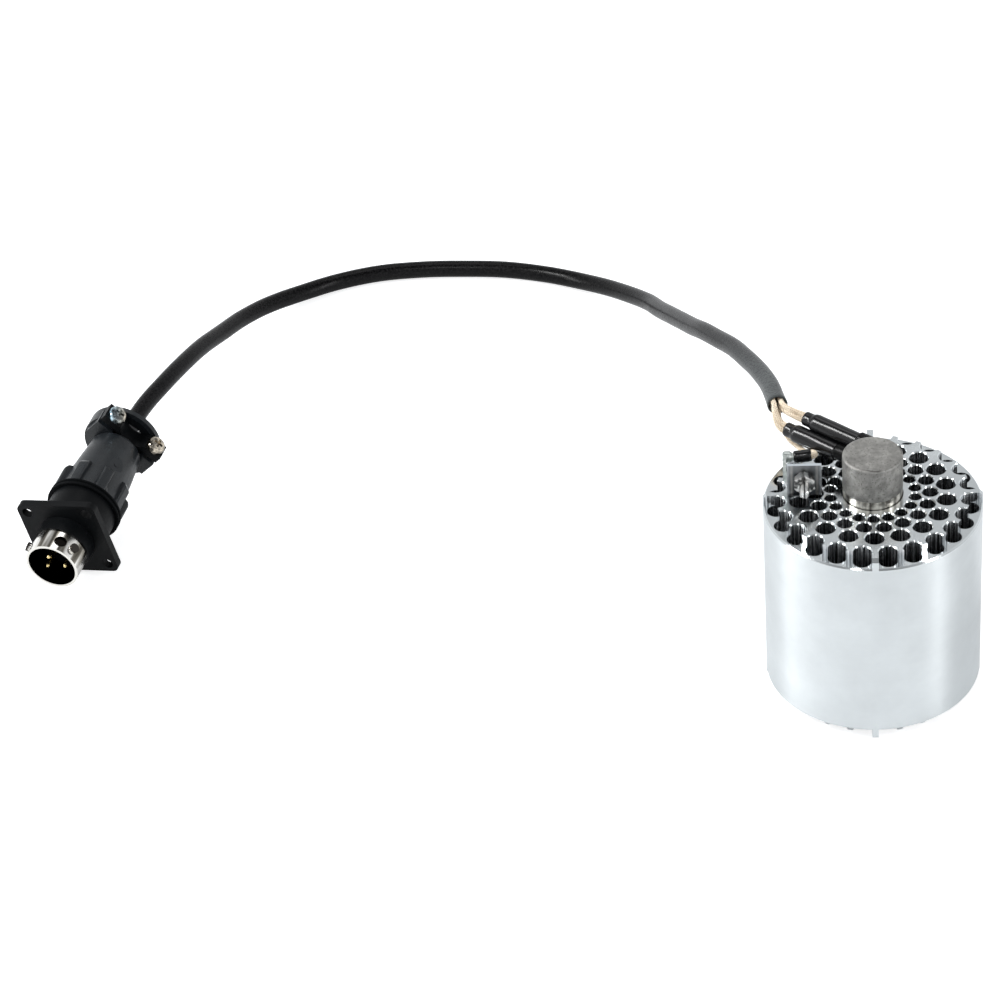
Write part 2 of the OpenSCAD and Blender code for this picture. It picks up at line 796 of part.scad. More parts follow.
module earth_nut() {
  ac = nut_af / cos(30);
  color([0.78, 0.79, 0.8])
    translate([bracket_x, bracket_y - washer_t, bolt_z])
      rotate([90, 0, 0])
        difference() {
          intersection() {
            rotate([0, 0, 30])
              cylinder(d = ac, h = nut_t, $fn = 6);
            rotate_extrude($fn = 48)
              polygon([
                [0, 0], [ac / 2, 0], [ac / 2, nut_t - 0.3], [nut_af / 2 - 0.1, nut_t], [0, nut_t]
              ]);
          }
          translate([0, 0, -1])
            cylinder(d = bolt_d + 2 * fit_gap, h = nut_t + 2, $fn = 32);
        }
}

module lock_washer() {
  color([0.76, 0.77, 0.78])
    translate([bracket_x, bracket_y, bolt_z])
      rotate([90, 0, 0])
        difference() {
          cylinder(d = nut_af - 0.2, h = washer_t, $fn = 48);
          translate([0, 0, -1])
            cylinder(d = bolt_d + 4 * fit_gap, h = washer_t + 2, $fn = 32);
          rotate([0, 0, 40])
            translate([0, -0.2, -1])
              cube([nut_af, 0.4, washer_t + 2]);
        }
}

// the strap runs left past the plate, turns back and ends in a barrel
module ring_terminal() {
  side_y = barrel_y + barrel_d / 2;
  color([0.8, 0.81, 0.8])
    difference() {
      union() {
        translate([bracket_x, plate_back, bolt_z])
          rotate([-90, 0, 0])
            cylinder(d = tag_eye_d, h = tag_t, $fn = 48);
        translate([tag_side, plate_back, bolt_z - tag_w / 2])
          cube([bracket_x - tag_side - 1, tag_t, tag_w]);
        translate([tag_side - tag_t + eps, plate_back, bolt_z - tag_w / 2])
          cube([tag_t, side_y - plate_back - 0.5, tag_w + 1.3]);
        translate([tag_side - tag_t + 0.1, barrel_y, bolt_z + 1.3])
          rotate([0, 90, 0])
            cylinder(d = barrel_d, h = 5, $fn = 32);
        translate([tag_side - tag_t - 0.1, barrel_y, bolt_z + 1.3])
          rotate([0, 90, 0])
            rotate_extrude($fn = 32)
              polygon([
                [0, 0], [barrel_end_d / 2 - 0.5, 0], [barrel_end_d / 2, 0.5],
                [barrel_end_d / 2, 1.8], [barrel_d / 2, 2.4], [0, 2.4]
              ]);
      }
      translate([bracket_x, plate_back - 1, bolt_z])
        rotate([-90, 0, 0])
          cylinder(d = bolt_d + 4 * fit_gap, h = tag_t + 2, $fn = 32);
      translate([tag_side + 1, barrel_y, bolt_z + 1.3])
        rotate([0, 90, 0])
          cylinder(d = strand_d + 0.2, h = 6, $fn = 24);
    }
}

module terminal_sleeve() {
  x0 = tag_side + 1.9;
  color([0.05, 0.05, 0.055])
    translate([x0, barrel_y, bolt_z + 1.3])
      rotate([0, 90, 0])
        difference() {
          cylinder(d = tag_sleeve_d, h = 4.4, $fn = 32);
          translate([0, 0, -1])
            cylinder(d = barrel_d + 2 * fit_gap, h = 6.4, $fn = 32);
        }
}

// Hose

module cable_hose() {
  color([0.12, 0.12, 0.125])
    swept_tube(hose_route, hose_d / 2, 10, hose_in, hose_out);
}

// Receptacle

module flange_plate() {
  inner = flange_side - 2 * flange_round;
  translate([-flange_side / 2, -inner / 2, -flange_t])
    cube([flange_side, inner, flange_t]);
  translate([-inner / 2, -flange_side / 2, -flange_t])
    cube([inner, flange_side, flange_t]);
  for (x = [-1, 1]) for (y = [-1, 1])
    translate([x * inner / 2, y * inner / 2, -flange_t])
      cylinder(r = flange_round, h = flange_t, $fn = 32);
}

module receptacle_body() {
  color([0.09, 0.09, 0.095])
    at_plug()
      difference() {
        union() {
          flange_plate();
          translate([0, 0, -eps])
            cylinder(d = neck_front_d, h = neck_front_len + eps, $fn = 64);
          translate([0, 0, collar_z])
            cylinder(d = barrel_rear_d, h = barrel_rear_len + eps, $fn = 64);
          translate([0, 0, back_z - spigot_len])
            cylinder(d = spigot_d, h = spigot_len + collar_t + eps, $fn = 64);
        }
        for (x = [-1, 1]) for (y = [-1, 1])
          translate([x * flange_pitch / 2, y * flange_pitch / 2, -flange_t - 1])
            cylinder(d = flange_hole, h = flange_t + 2, $fn = 32);
        translate([0, 0, back_z - spigot_len - 1])
          cylinder(d = shell_bore, h = spigot_len - back_z + 1, $fn = 64);
        translate([0, 0, -shell_in])
          cylinder(d = shell_seat_d + 2 * fit_gap, h = shell_in + neck_front_len + 1, $fn = 64);
      }
}

module metal_shell() {
  color([0.78, 0.76, 0.7])
    at_plug()
      difference() {
        union() {
          translate([0, 0, neck_front_len])
            cylinder(d = shell_d, h = shell_reach - neck_front_len, $fn = 64);
          translate([0, 0, -shell_in])
            cylinder(d = shell_seat_d, h = shell_in + neck_front_len + eps, $fn = 64);
          for (a = [30, 150, 270])
            rotate([0, 0, a])
              translate([shell_d / 2 - 0.5, 0, shell_reach - 3.2])
                rotate([0, 90, 0])
                  cylinder(d = 2.6, h = 1.6, $fn = 32);
        }
        translate([0, 0, -shell_in - 1])
          cylinder(d = shell_bore, h = shell_in + shell_reach + 2, $fn = 64);
        rotate([0, 0, 60])
          translate([shell_d / 2 - 0.5, 0, shell_reach - 3.2])
            rotate([0, 90, 0])
              cylinder(d = 3, h = 2, $fn = 32);
      }
}

contact_angles = [90, 210, 330];

module contact_insert() {
  color([0.07, 0.07, 0.075])
    at_plug()
      difference() {
        translate([0, 0, -insert_depth])
          cylinder(d = shell_bore - 2 * fit_gap, h = insert_depth + insert_face, $fn = 64);
        for (a = contact_angles)
          rotate([0, 0, a])
            translate([contact_r, 0, -insert_depth - 1])
              cylinder(d = contact_d + 2 * fit_gap, h = insert_depth + insert_face + 2, $fn = 24);
      }
}

module contact_pins() {
  r = contact_d / 2;
  low = -insert_depth - contact_tail;
  color([0.85, 0.7, 0.35])
    at_plug()
      for (i = [0:2])
        let (tip = contact_reach + (i == 0 ? contact_extra : 0))
          rotate([0, 0, contact_angles[i]])
            translate([contact_r, 0, 0])
              rotate_extrude($fn = 24)
                polygon([[0, low], [r, low], [r, tip - r], [r * 0.8, tip - r * 0.4], [r / 2, tip], [0, tip]]);
}

// two lips with a shallow groove between them
module collar_ring() {
  in = spigot_d / 2 + fit_gap;
  r = collar_d / 2;
  g = collar_groove;
  color([0.06, 0.06, 0.065])
    at_plug()
      translate([0, 0, back_z])
        rotate_extrude($fn = 72)
          polygon([
            [in, 0], [r - 0.2, 0], [r, 0.2], [r, 0.6], [r - g, 0.8], [r - g, collar_t - 0.8],
            [r, collar_t - 0.6], [r, collar_t - 0.2], [r - 0.2, collar_t], [in, collar_t]
          ]);
}

module grip_bar() {
  r = grip_round;
  root = back_d2 / 2 - 1;
  translate([root, -grip_w / 2, back_z - grip_len])
    cube([grip_r - r - root, grip_w, grip_len]);
  translate([root, -grip_w / 2 + r, back_z - grip_len])
    cube([grip_r - root + 1, grip_w - 2 * r, grip_len]);
  for (y = [-1, 1])
    translate([grip_r - r, y * (grip_w / 2 - r), back_z - grip_len])
      cylinder(r = r, h = grip_len, $fn = 24);
}

module grip_ribs() {
  for (i = [0:grip_count - 1])
    rotate([0, 0, i * 360 / grip_count])
      intersection() {
        grip_bar();
        rotate_extrude($fn = 64)
          polygon([
            [back_d2 / 2 - 1.5, back_z], [grip_r, back_z], [grip_r, back_z - grip_len + 1.6],
            [grip_r - 0.6, back_z - grip_len + 0.5], [grip_r - 1.6, back_z - grip_len],
            [back_d2 / 2 - 1.5, back_z - grip_len]
          ]);
      }
}

// two round recesses on the side of the backshell
module mould_marks() {
  r1 = back_d2 / 2 + (back_d1 - back_d2) / 2 * (back_z - 11.7 - back_mid) / back_l1;
  rotate([0, 0, 36.8])
    translate([r1 - mark_depth, 0, back_z - 11.7])
      rotate([0, 90, 0])
        difference() {
          cylinder(d = mark_d, h = 2, $fn = 40);
          translate([0, 0, -1])
            cylinder(d = mark_small_d - 0.4, h = 1 + mark_depth * 0.6, $fn = 24);
        }
  r2 = back_d3 / 2 + 0.3 + (back_d2 - back_d3) / 2 * (back_l2 - 4.6) / back_l2;
  rotate([0, 0, 40.7])
    translate([r2 - mark_depth, 0, back_z - 19.1])
      rotate([0, 90, 0])
        cylinder(d = mark_small_d, h = 2, $fn = 24);
}

module backshell() {
  color([0.11, 0.11, 0.115]) {
    difference() {
      union() {
        at_plug() {
          rotate_extrude($fn = 72)
            polygon([
              [0, back_z], [back_d1 / 2, back_z], [back_d2 / 2, back_mid],
              [back_d3 / 2 + 0.3, back_end + 1], [back_d3 / 2 - 0.4, back_end], [0, back_end]
            ]);
          grip_ribs();
        }
        at_clamp() {
          // lower half of the cable clamp and its hoop
          intersection() {
            translate([0, 0, hoop_back])
              cylinder(d = hoop_d, h = hoop_w, $fn = 72);
            translate([-hoop_d, -hoop_d, hoop_back])
              cube([2 * hoop_d, hoop_d + clamp_seat - clamp_gap, hoop_w]);
          }
          intersection() {
            translate([0, 0, hoop_front - eps])
              cylinder(d = back_d3 - 1.4, h = 3, $fn = 64);
            translate([-hoop_d, -hoop_d, hoop_front - eps])
              cube([2 * hoop_d, hoop_d + grommet_d / 2 - 1, 3]);
          }
          for (m = [0, 1])
            mirror([m, 0, 0])
              translate([clamp_pitch / 2 - clamp_ear / 2, -1.5, clamp_z - clamp_ear / 2])
                cube([clamp_ear / 2 + clamp_ear_out, clamp_seat - clamp_gap + 1.5, clamp_ear]);
          difference() {
            translate([0, 0, hoop_back])
              cylinder(d = hoop_d, h = clamp_z - clamp_ear / 2 - 0.15 - hoop_back, $fn = 72);
            translate([0, 0, hoop_back - 1])
              cylinder(d = hoop_d - 2 * hoop_wall, h = hoop_w + 2, $fn = 72);
          }
        }
      }
      at_plug() {
        translate([0, 0, back_z - spigot_len - 1])
          cylinder(d = spigot_d + 2 * fit_gap, h = spigot_len + 2, $fn = 64);
        rotate_extrude($fn = 64)
          polygon([
            [0, back_z - spigot_len], [back_d2 / 2 - back_wall, back_z - spigot_len],
            [back_d2 / 2 - back_wall, back_mid], [grommet_d / 2 + fit_gap, back_end + 3],
            [0, back_end + 3]
          ]);
        translate([0, 0, hoop_back - 1])
          cylinder(d = grommet_d + 2 * fit_gap, h = back_end + 4 - hoop_back, $fn = 48);
      }
      at_clamp()
        for (x = [-1, 1])
          translate([x * clamp_pitch / 2, 0, clamp_z])
            rotate([-90, 0, 0])
              cylinder(d = clamp_screw_d + 2 * fit_gap, h = clamp_seat, $fn = 24);
      // room for the saddle's strap between the posts
      at_clamp()
        translate([-strap_half - strap_room, strap_low - strap_room, clamp_z - clamp_ear / 2 - 0.15])
          cube([2 * (strap_half + strap_room), hoop_d, clamp_ear + 0.3]);
      at_plug()
        mould_marks();
    }
  }
}

module cable_grommet() {
  color([0.04, 0.04, 0.045])
    at_plug()
      translate([0, 0, hoop_back])
        difference() {
          cylinder(d = grommet_d, h = back_end + 2 - hoop_back, $fn = 48);
          translate([0, 0, -1])
            cylinder(d = grommet_bore, h = back_end + 4 - hoop_back, $fn = 32);
        }
}

// two ears joined by a strap that dips to the cable
strap_half = clamp_pitch / 2 - clamp_ear / 2;
strap_low = grommet_d / 2 + strap_gap;

module clamp_saddle() {
  top = clamp_seat + saddle_t;
  dip = top - strap_low - strap_t;
  r = (strap_half * strap_half + dip * dip) / (2 * dip);
  mid = strap_low + strap_t + r;
  color([0.08, 0.08, 0.085])
    at_clamp()
      difference() {
        union() {
          for (m = [0, 1])
            mirror([m, 0, 0])
              translate([strap_half, clamp_seat, clamp_z - clamp_ear / 2])
                cube([clamp_ear / 2 + clamp_ear_out, saddle_t, clamp_ear]);
          intersection() {
            translate([0, mid, clamp_z - clamp_ear / 2])
              cylinder(r = r + strap_t, h = clamp_ear, $fn = 64);
            translate([-strap_half - 0.3, strap_low - 1, clamp_z - clamp_ear / 2])
              cube([2 * strap_half + 0.6, top - strap_low + 1, clamp_ear]);
          }
        }
        translate([0, mid, clamp_z - clamp_ear])
          cylinder(r = r, h = 2 * clamp_ear, $fn = 64);
        for (x = [-1, 1])
          translate([x * clamp_pitch / 2, 0, clamp_z])
            rotate([-90, 0, 0])
              cylinder(d = clamp_screw_d + 4 * fit_gap, h = top + 1, $fn = 24);
      }
}

module clamp_screws() {
  len = clamp_seat + saddle_t - 0.4;
  color([0.8, 0.81, 0.82])
    at_clamp()
      for (x = [-1, 1])
        translate([x * clamp_pitch / 2, clamp_seat + saddle_t, clamp_z])
          rotate([-90, 0, 0]) {
            pan_head(clamp_head_d, clamp_head_h);
            translate([0, 0, -len])
              cylinder(d = clamp_screw_d, h = len + eps, $fn = 24);
          }
}

heating_block();
heater_sheath();
sheath_end_disc();
ceramic_core();
heating_coil();
insulating_fill();
terminal_pins();
heater_cap();
end_seal();
lead_boot();
lead_sleeve_front();
lead_sleeve_rear();
crimp_splices();
lead_front();
lead_rear();
lead_earth();
earth_bracket();
bracket_screw();
earth_bolt();
earth_nut();
lock_washer();
ring_terminal();
terminal_sleeve();
cable_hose();
receptacle_body();
metal_shell();
contact_insert();
contact_pins();
collar_ring();
backshell();
cable_grommet();
clamp_saddle();
clamp_screws();
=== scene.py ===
import math

import bmesh
import bpy
from mathutils import Matrix, Vector, noise


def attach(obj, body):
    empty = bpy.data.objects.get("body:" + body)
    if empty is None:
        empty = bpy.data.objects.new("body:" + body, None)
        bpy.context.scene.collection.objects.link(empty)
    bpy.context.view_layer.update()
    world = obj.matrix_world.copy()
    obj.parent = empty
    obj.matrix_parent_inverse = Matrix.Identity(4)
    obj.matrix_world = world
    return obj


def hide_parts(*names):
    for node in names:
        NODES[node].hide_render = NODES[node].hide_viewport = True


bl_info = {
    "name": "Heated tube block",
    "version": (1, 0, 0),
    "blender": (4, 5, 0),
    "location": "3D View > Sidebar > Tube block",
    "description": "Dresses the heated tube block, its leads, hose and receptacle",
    "category": "Object",
}

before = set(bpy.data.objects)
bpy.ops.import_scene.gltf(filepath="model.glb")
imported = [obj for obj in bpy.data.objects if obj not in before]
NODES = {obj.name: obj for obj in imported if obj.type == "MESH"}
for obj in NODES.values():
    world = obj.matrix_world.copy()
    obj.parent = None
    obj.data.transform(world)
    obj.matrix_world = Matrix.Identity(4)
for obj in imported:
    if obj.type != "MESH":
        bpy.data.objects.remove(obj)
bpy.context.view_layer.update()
MM = 0.001
SHEATH_TOP = 60.4 * MM
BRACKET_X = -17 * MM
EARTH_BOLT_Z = 63.7 * MM


def mm(points):
    return [Vector(p) * MM for p in points]


# Route of the hose, from its mouth beside the heater to the cable clamp
HOSE_ROUTE = mm([
    (-23.5, 26.5, 66.5), (-25.5, 38.5, 64), (-28.5, 50.5, 60.5), (-32, 62, 56.5),
    (-35.5, 73.5, 52), (-39.5, 84.5, 47), (-43.5, 95.5, 42), (-47, 106, 36.5),
    (-50.5, 117, 31), (-54, 128, 25.5), (-57.5, 139, 20), (-61, 150, 15),
    (-66.5, 160.5, 10.5), (-73.5, 170.5, 6.5), (-82.5, 179, 3.5), (-93.5, 184.5, 2.6),
    (-106, 187.5, 2.6), (-119, 188.5, 2.6), (-131.5, 188.5, 2.6), (-144, 187, 2.6),
    (-156, 183, 2.6), (-166.5, 176, 3.5), (-175.5, 167, 5.5), (-182, 156.5, 8),
    (-186.5, 145, 11), (-190.5, 133, 14.5), (-194, 121.5, 17), (-198, 109.5, 18.5),
    (-202.5, 97.5, 18.8), (-206.1, 85, 18.1),
])
# Route of the earth strand, from the ring terminal to the hose
EARTH_ROUTE = mm([
    (-17.6, 6, 65), (-16.4, 6, 65), (-15.2, 6, 65), (-14.4, 6.6, 64.9), (-14.2, 8, 64.5),
    (-14.9, 9.8, 63.6), (-15.9, 12, 61.9), (-17.2, 14.4, 60.8), (-18.8, 17, 60.5),
    (-20.5, 19.3, 60.7), (-22, 21.5, 62), (-23, 23.4, 63.7),
])
MOUTH = HOSE_ROUTE[0]
MOUTH_DIR = (HOSE_ROUTE[1] - HOSE_ROUTE[0]).normalized()
MOUTH_SIDE = MOUTH_DIR.cross(Vector((0, 0, 1))).normalized()
MOUTH_UP = MOUTH_SIDE.cross(MOUTH_DIR)
# Direction in which the leads leave the heater
EXIT_ANGLE = math.radians(142.5)
EXIT_DIR = Vector((math.cos(EXIT_ANGLE), math.sin(EXIT_ANGLE), 0))
EXIT_SIDE = Vector((EXIT_DIR.y, -EXIT_DIR.x, 0))
# Direction in which the two strands of a lead lie side by side
PAIR_DIR = Vector((0.438, 0.571, 0.694)).normalized()
# Leads: start and end of the sleeve along the exit, side step, height above the sheath
FRONT_LEAD = (12.5 * MM, 28.7 * MM, 2.5 * MM, 3.5 * MM)
REAR_LEAD = (8.0 * MM, 25.1 * MM, 5.7 * MM, 6.5 * MM)
# Place of the receptacle, with its axis along Z and its mouth upwards
PLUG = (
    Matrix.Translation(Vector((-217, 44.2, 13.25)) * MM)
    @ Matrix.Rotation(math.radians(-15), 4, "Z")
    @ Matrix.Rotation(math.radians(96.5), 4, "X")
    @ Matrix.Rotation(math.radians(9.3), 4, "Z")
)


# ---------------------------------------------------------------- curves and meshes


def catmull(points, step):
    """A smooth line through the points, with a point about every step."""
    ps = [points[0] * 2 - points[1]] + list(points) + [points[-1] * 2 - points[-2]]
    line = []
    for i in range(1, len(ps) - 2):
        a, b, c, d = ps[i - 1:i + 3]
        n = max(1, round((c - b).length / step))
        for k in range(n):
            t = k / n
            line.append(0.5 * (
                2 * b + (c - a) * t + (2 * a - 5 * b + 4 * c - d) * t * t
                + (3 * b - a - 3 * c + d) * t ** 3
            ))
    line.append(ps[-2].copy())
    return line


def bezier(a, b, c, d, n):
    """n steps along a curve from a to d that leaves towards b and arrives from c."""
    out = []
    for i in range(n + 1):
        t = i / n
        s = 1 - t
        out.append(s ** 3 * a + 3 * s * s * t * b + 3 * s * t * t * c + t ** 3 * d)
    return out


def line_frames(line):
    """Direction, side and up along a line, with no twist."""
    out = []
    up = Vector((0, 0, 1))
    for i, p in enumerate(line):
        d = (line[min(i + 1, len(line) - 1)] - line[max(i - 1, 0)]).normalized()
        side = d.cross(up).normalized()
        up = side.cross(d).normalized()
        out.append((p, d, side, up))
    return out


def mesh_piece(name, verts, faces, finish, uvs=None, smooth=True):
    """A mesh object at the origin, with one material."""
    mesh = bpy.data.meshes.new(name)
    mesh.from_pydata([tuple(v) for v in verts], [], faces)
    mesh.update()
    if uvs:
        layer = mesh.uv_layers.new(name="UVMap")
        for loop in mesh.loops:
            layer.data[loop.index].uv = uvs[loop.vertex_index]
    mesh.polygons.foreach_set("use_smooth", [smooth] * len(mesh.polygons))
    piece = bpy.data.objects.new(name, mesh)
    bpy.context.scene.collection.objects.link(piece)
    mesh.materials.append(finish)
    return piece


def circle(middle, side, up, r, sides):
    """Points round a middle, in the plane of side and up."""
    out = []
    for k in range(sides):
        a = 2 * math.pi * k / sides
        out.append(middle + r * (math.cos(a) * side + math.sin(a) * up))
    return out


def swept_skin(line, radius, sides):
    """Verts, faces and uvs of a closed tube. radius(run, angle) gives its radius."""
    verts, faces, uvs = [], [], []
    frames = line_frames(line)
    run = 0.0
    for i, (p, d, side, up) in enumerate(frames):
        if i:
            run += (p - frames[i - 1][0]).length
        for k in range(sides):
            a = 2 * math.pi * k / sides
            verts.append(p + radius(run, a) * (math.cos(a) * side + math.sin(a) * up))
            uvs.append((k / sides, run))
    for i in range(len(frames) - 1):
        for k in range(sides):
            a, b = i * sides + k, i * sides + (k + 1) % sides
            faces.append((a + sides, b + sides, b, a))
    faces.append(tuple(range(sides)))
    faces.append(tuple(reversed(range((len(frames) - 1) * sides, len(frames) * sides))))
    return verts, faces, uvs


def closed_ring(name, rings, finish, angle, uvs=None):
    """A ring-shaped piece skinned over circles of points, with the last joined to the first."""
    sides = len(rings[0])
    faces = []
    for i in range(len(rings)):
        low, high = i * sides, (i + 1) % len(rings) * sides
        for k in range(sides):
            j = (k + 1) % sides
            faces.append((low + j, low + k, high + k, high + j))
    piece = mesh_piece(name, [v for ring in rings for v in ring], faces, finish, uvs)
    outward(piece)
    soften(piece, angle)
    return piece


def turned_rings(profile, matrix, sides):
    """Circles of points from (radius, height) pairs about the Z of a matrix."""
    x, y = Vector((1, 0, 0)), Vector((0, 1, 0))
    return [[matrix @ v for v in circle(Vector((0, 0, z)), x, y, r, sides)] for r, z in profile]


def outward(piece):
    """Turns every face outwards."""
    bm = bmesh.new()
    bm.from_mesh(piece.data)
    bmesh.ops.recalc_face_normals(bm, faces=bm.faces)
    bm.to_mesh(piece.data)
    bm.free()


def soften(piece, angle):
    """Smooth shading, with edges sharper than the angle kept."""
    mesh = piece.data
    limit = math.cos(math.radians(angle))
    by_edge = {}
    for poly in mesh.polygons:
        for key in poly.edge_keys:
            by_edge.setdefault(key, []).append(poly.normal.copy())
    attr = mesh.attributes.new("sharp_edge", "BOOLEAN", "EDGE")
    for edge in mesh.edges:
        n = by_edge.get(tuple(sorted(edge.vertices)), by_edge.get(edge.key, []))
        attr.data[edge.index].value = len(n) == 2 and n[0].dot(n[1]) < limit


# ---------------------------------------------------------------- finishes


class Finish:
    """A material with one Principled shader, and short calls for its nodes."""

    def __init__(self, name, color, metallic=0.0, roughness=0.5, **sockets):
        self.mat = bpy.data.materials.new(name)
        self.mat.use_nodes = True
        self.nodes = self.mat.node_tree.nodes
        self.links = self.mat.node_tree.links
        self.shader = self.nodes["Principled BSDF"]
        self.shader.inputs["Base Color"].default_value = (*color, 1)
        self.shader.inputs["Metallic"].default_value = metallic
        self.shader.inputs["Roughness"].default_value = roughness
        for key, value in sockets.items():
            self.shader.inputs[key.replace("_", " ")].default_value = value
        coords = self.nodes.new("ShaderNodeTexCoord")
        self.place = coords.outputs["Object"]
        self.uv = coords.outputs["UV"]

    def link(self, out, target):
        self.links.new(out, target)

    def mapped(self, source, scale, rotation=(0, 0, 0), location=(0, 0, 0)):
        node = self.nodes.new("ShaderNodeMapping")
        node.inputs["Scale"].default_value = scale
        node.inputs["Rotation"].default_value = rotation
        node.inputs["Location"].default_value = location
        self.link(source, node.inputs["Vector"])
        return node.outputs["Vector"]

    def noise(self, source, scale, detail=3.0, rough=0.55):
        node = self.nodes.new("ShaderNodeTexNoise")
        node.inputs["Scale"].default_value = scale
        node.inputs["Detail"].default_value = detail
        node.inputs["Roughness"].default_value = rough
        self.link(source, node.inputs["Vector"])
        return node.outputs["Fac"]

    def cells(self, source, scale):
        """Distance from the middle of the nearest cell."""
        node = self.nodes.new("ShaderNodeTexVoronoi")
        node.inputs["Scale"].default_value = scale
        self.link(source, node.inputs["Vector"])
        return node.outputs["Distance"]

    def math(self, op, a, b=0.0):
        node = self.nodes.new("ShaderNodeMath")
        node.operation = op
        for value, socket in ((a, node.inputs[0]), (b, node.inputs[1])):
            if isinstance(value, (int, float)):
                socket.default_value = value
            else:
                self.link(value, socket)
        return node.outputs[0]

    def times(self, a, b):
        return self.math("MULTIPLY", a, b)

    def reach(self, *parts):
        """Length of a vector, from its parts."""
        total = 0.0
        for part in parts:
            total = self.math("ADD", self.times(part, part), total)
        return self.math("SQRT", total)

    def band(self, value, low, high, to_low=0.0, to_high=1.0):
        """Where a value lies between low and high, from to_low to to_high."""
        node = self.nodes.new("ShaderNodeMapRange")
        node.inputs["From Min"].default_value = low
        node.inputs["From Max"].default_value = high
        node.inputs["To Min"].default_value = to_low
        node.inputs["To Max"].default_value = to_high
        self.link(value, node.inputs["Value"])
        return node.outputs["Result"]

    def ramp(self, value, stops):
        """Colour along (place, colour) stops."""
        node = self.nodes.new("ShaderNodeValToRGB")
        ramp = node.color_ramp
        while len(ramp.elements) < len(stops):
            ramp.elements.new(0.5)
        for element, (at, color) in zip(ramp.elements, stops):
            element.position = at
            element.color = (*color, 1)
        self.link(value, node.inputs["Fac"])
        return node.outputs["Color"]

    def mix(self, factor, a, b, blend="MIX"):
        node = self.nodes.new("ShaderNodeMix")
        node.data_type = "RGBA"
        node.blend_type = blend
        for value, socket in ((factor, node.inputs[0]), (a, node.inputs[6]), (b, node.inputs[7])):
            if isinstance(value, tuple):
                socket.default_value = (*value, 1)
            elif isinstance(value, (int, float)):
                socket.default_value = value
            else:
                self.link(value, socket)
        return node.outputs[2]

    def blend(self, factor, a, b):
        """A number between a and b."""
        rest = self.math("SUBTRACT", 1.0, factor)
        return self.math("ADD", self.times(a, rest), self.times(b, factor))

    def in_plug(self):
        """Places measured in the receptacle's own frame."""
        to_plug = PLUG.inverted()
        return self.mapped(self.place, (1, 1, 1), to_plug.to_euler(), to_plug.to_translation())

    def split(self, source):
        node = self.nodes.new("ShaderNodeSeparateXYZ")
        self.link(source, node.inputs[0])
        return node.outputs

    def normal(self):
        return self.nodes.new("ShaderNodeNewGeometry").outputs["Normal"]

    def color(self, out):
        self.link(out, self.shader.inputs["Base Color"])

    def rough(self, out):
        self.link(out, self.shader.inputs["Roughness"])

    def bump(self, height, strength, distance):
        """Adds a bump on top of those already there."""
        node = self.nodes.new("ShaderNodeBump")
        node.inputs["Strength"].default_value = strength
        node.inputs["Distance"].default_value = distance
        self.link(height, node.inputs["Height"])
        slot = self.shader.inputs["Normal"]
        if slot.is_linked:
            self.link(slot.links[0].from_socket, node.inputs["Normal"])
        self.link(node.outputs["Normal"], slot)


def tinted(color, by):
    """A colour times a number, or times three."""
    by = by if isinstance(by, tuple) else (by, by, by)
    return tuple(a * b for a, b in zip(color, by))


def block_finish(look):
    """Turned and drilled aluminium: lines round the side, flat faces brighter than the hole walls, which
    carry painted shade and painted reflection streaks.
    """
    f = Finish("turned_aluminium", look.block_color, 1.0, look.block_roughness)
    f.shader.inputs["Anisotropic"].default_value = 0.85
    f.shader.inputs["Anisotropic Rotation"].default_value = 0.25
    tangent = f.nodes.new("ShaderNodeTangent")
    tangent.direction_type = "RADIAL"
    tangent.axis = "Z"
    f.link(tangent.outputs["Tangent"], f.shader.inputs["Tangent"])
    x, y, z = f.split(f.place)
    # the drilled part, without the rims of the feet
    inner = f.times(f.math("LESS_THAN", f.reach(x, y), look.side_radius), f.math("GREATER_THAN", z, 0.5 * MM))
    flat = f.band(f.math("ABSOLUTE", f.split(f.normal())[2]), 0.3, 0.6)
    lines = f.noise(f.mapped(f.place, (60, 60, 5200)), 1.0, 3.0, 0.6)
    cloud = f.noise(f.place, 55, 4.0, 0.6)
    tone = f.ramp(cloud, [(0.3, tinted(look.block_color, 0.875)), (0.7, tuple(look.block_color))])
    # painted reflections: the hole walls get dark shade and bright vertical streaks in their colour
    reflection_streaks = f.noise(f.mapped(f.place, (2600, 2600, 30)), 1.0, 3.0, 0.7)
    painted_wall_reflections = f.ramp(reflection_streaks, [
        (0.36, (0.2, 0.21, 0.22)), (0.48, (0.5, 0.52, 0.54)), (0.62, (0.95, 0.97, 0.99))])
    f.color(f.mix(f.times(inner, f.math("SUBTRACT", 1.0, flat)), tone, painted_wall_reflections))
    side_rough = f.band(lines, 0.3, 0.7, look.block_roughness - 0.05, look.block_roughness + 0.07)
    face_rough = f.band(cloud, 0.3, 0.7, look.face_roughness, look.face_roughness + 0.08)
    wall_rough = f.band(reflection_streaks, 0.3, 0.7, 0.1, 0.3)
    f.rough(f.blend(flat, f.blend(inner, side_rough, wall_rough), face_rough))
    f.bump(lines, 0.12, 0.00006)
    f.bump(f.noise(f.place, 900, 2.0), 0.05, 0.00004)
    return f.mat


def sheath_finish():
    """Ground steel, with painted dark and warm reflection streaks round the band below the cap."""
    f = Finish("ground_steel", (0.66, 0.65, 0.64), 1.0, 0.3)
    lines = f.noise(f.mapped(f.place, (80, 80, 4000)), 1.0, 2.0)
    reflection_streaks = f.noise(f.mapped(f.place, (420, 420, 20)), 1.0, 2.0, 0.5)
    # painted reflections: dark, bright and warm streaks round the band
    f.color(f.ramp(reflection_streaks, [
        (0.38, (0.14, 0.13, 0.115)), (0.48, (0.6, 0.57, 0.51)), (0.6, (1.0, 0.95, 0.86))]))
    f.rough(f.band(lines, 0.3, 0.7, 0.26, 0.38))
    f.bump(lines, 0.1, 0.00005)
    return f.mat


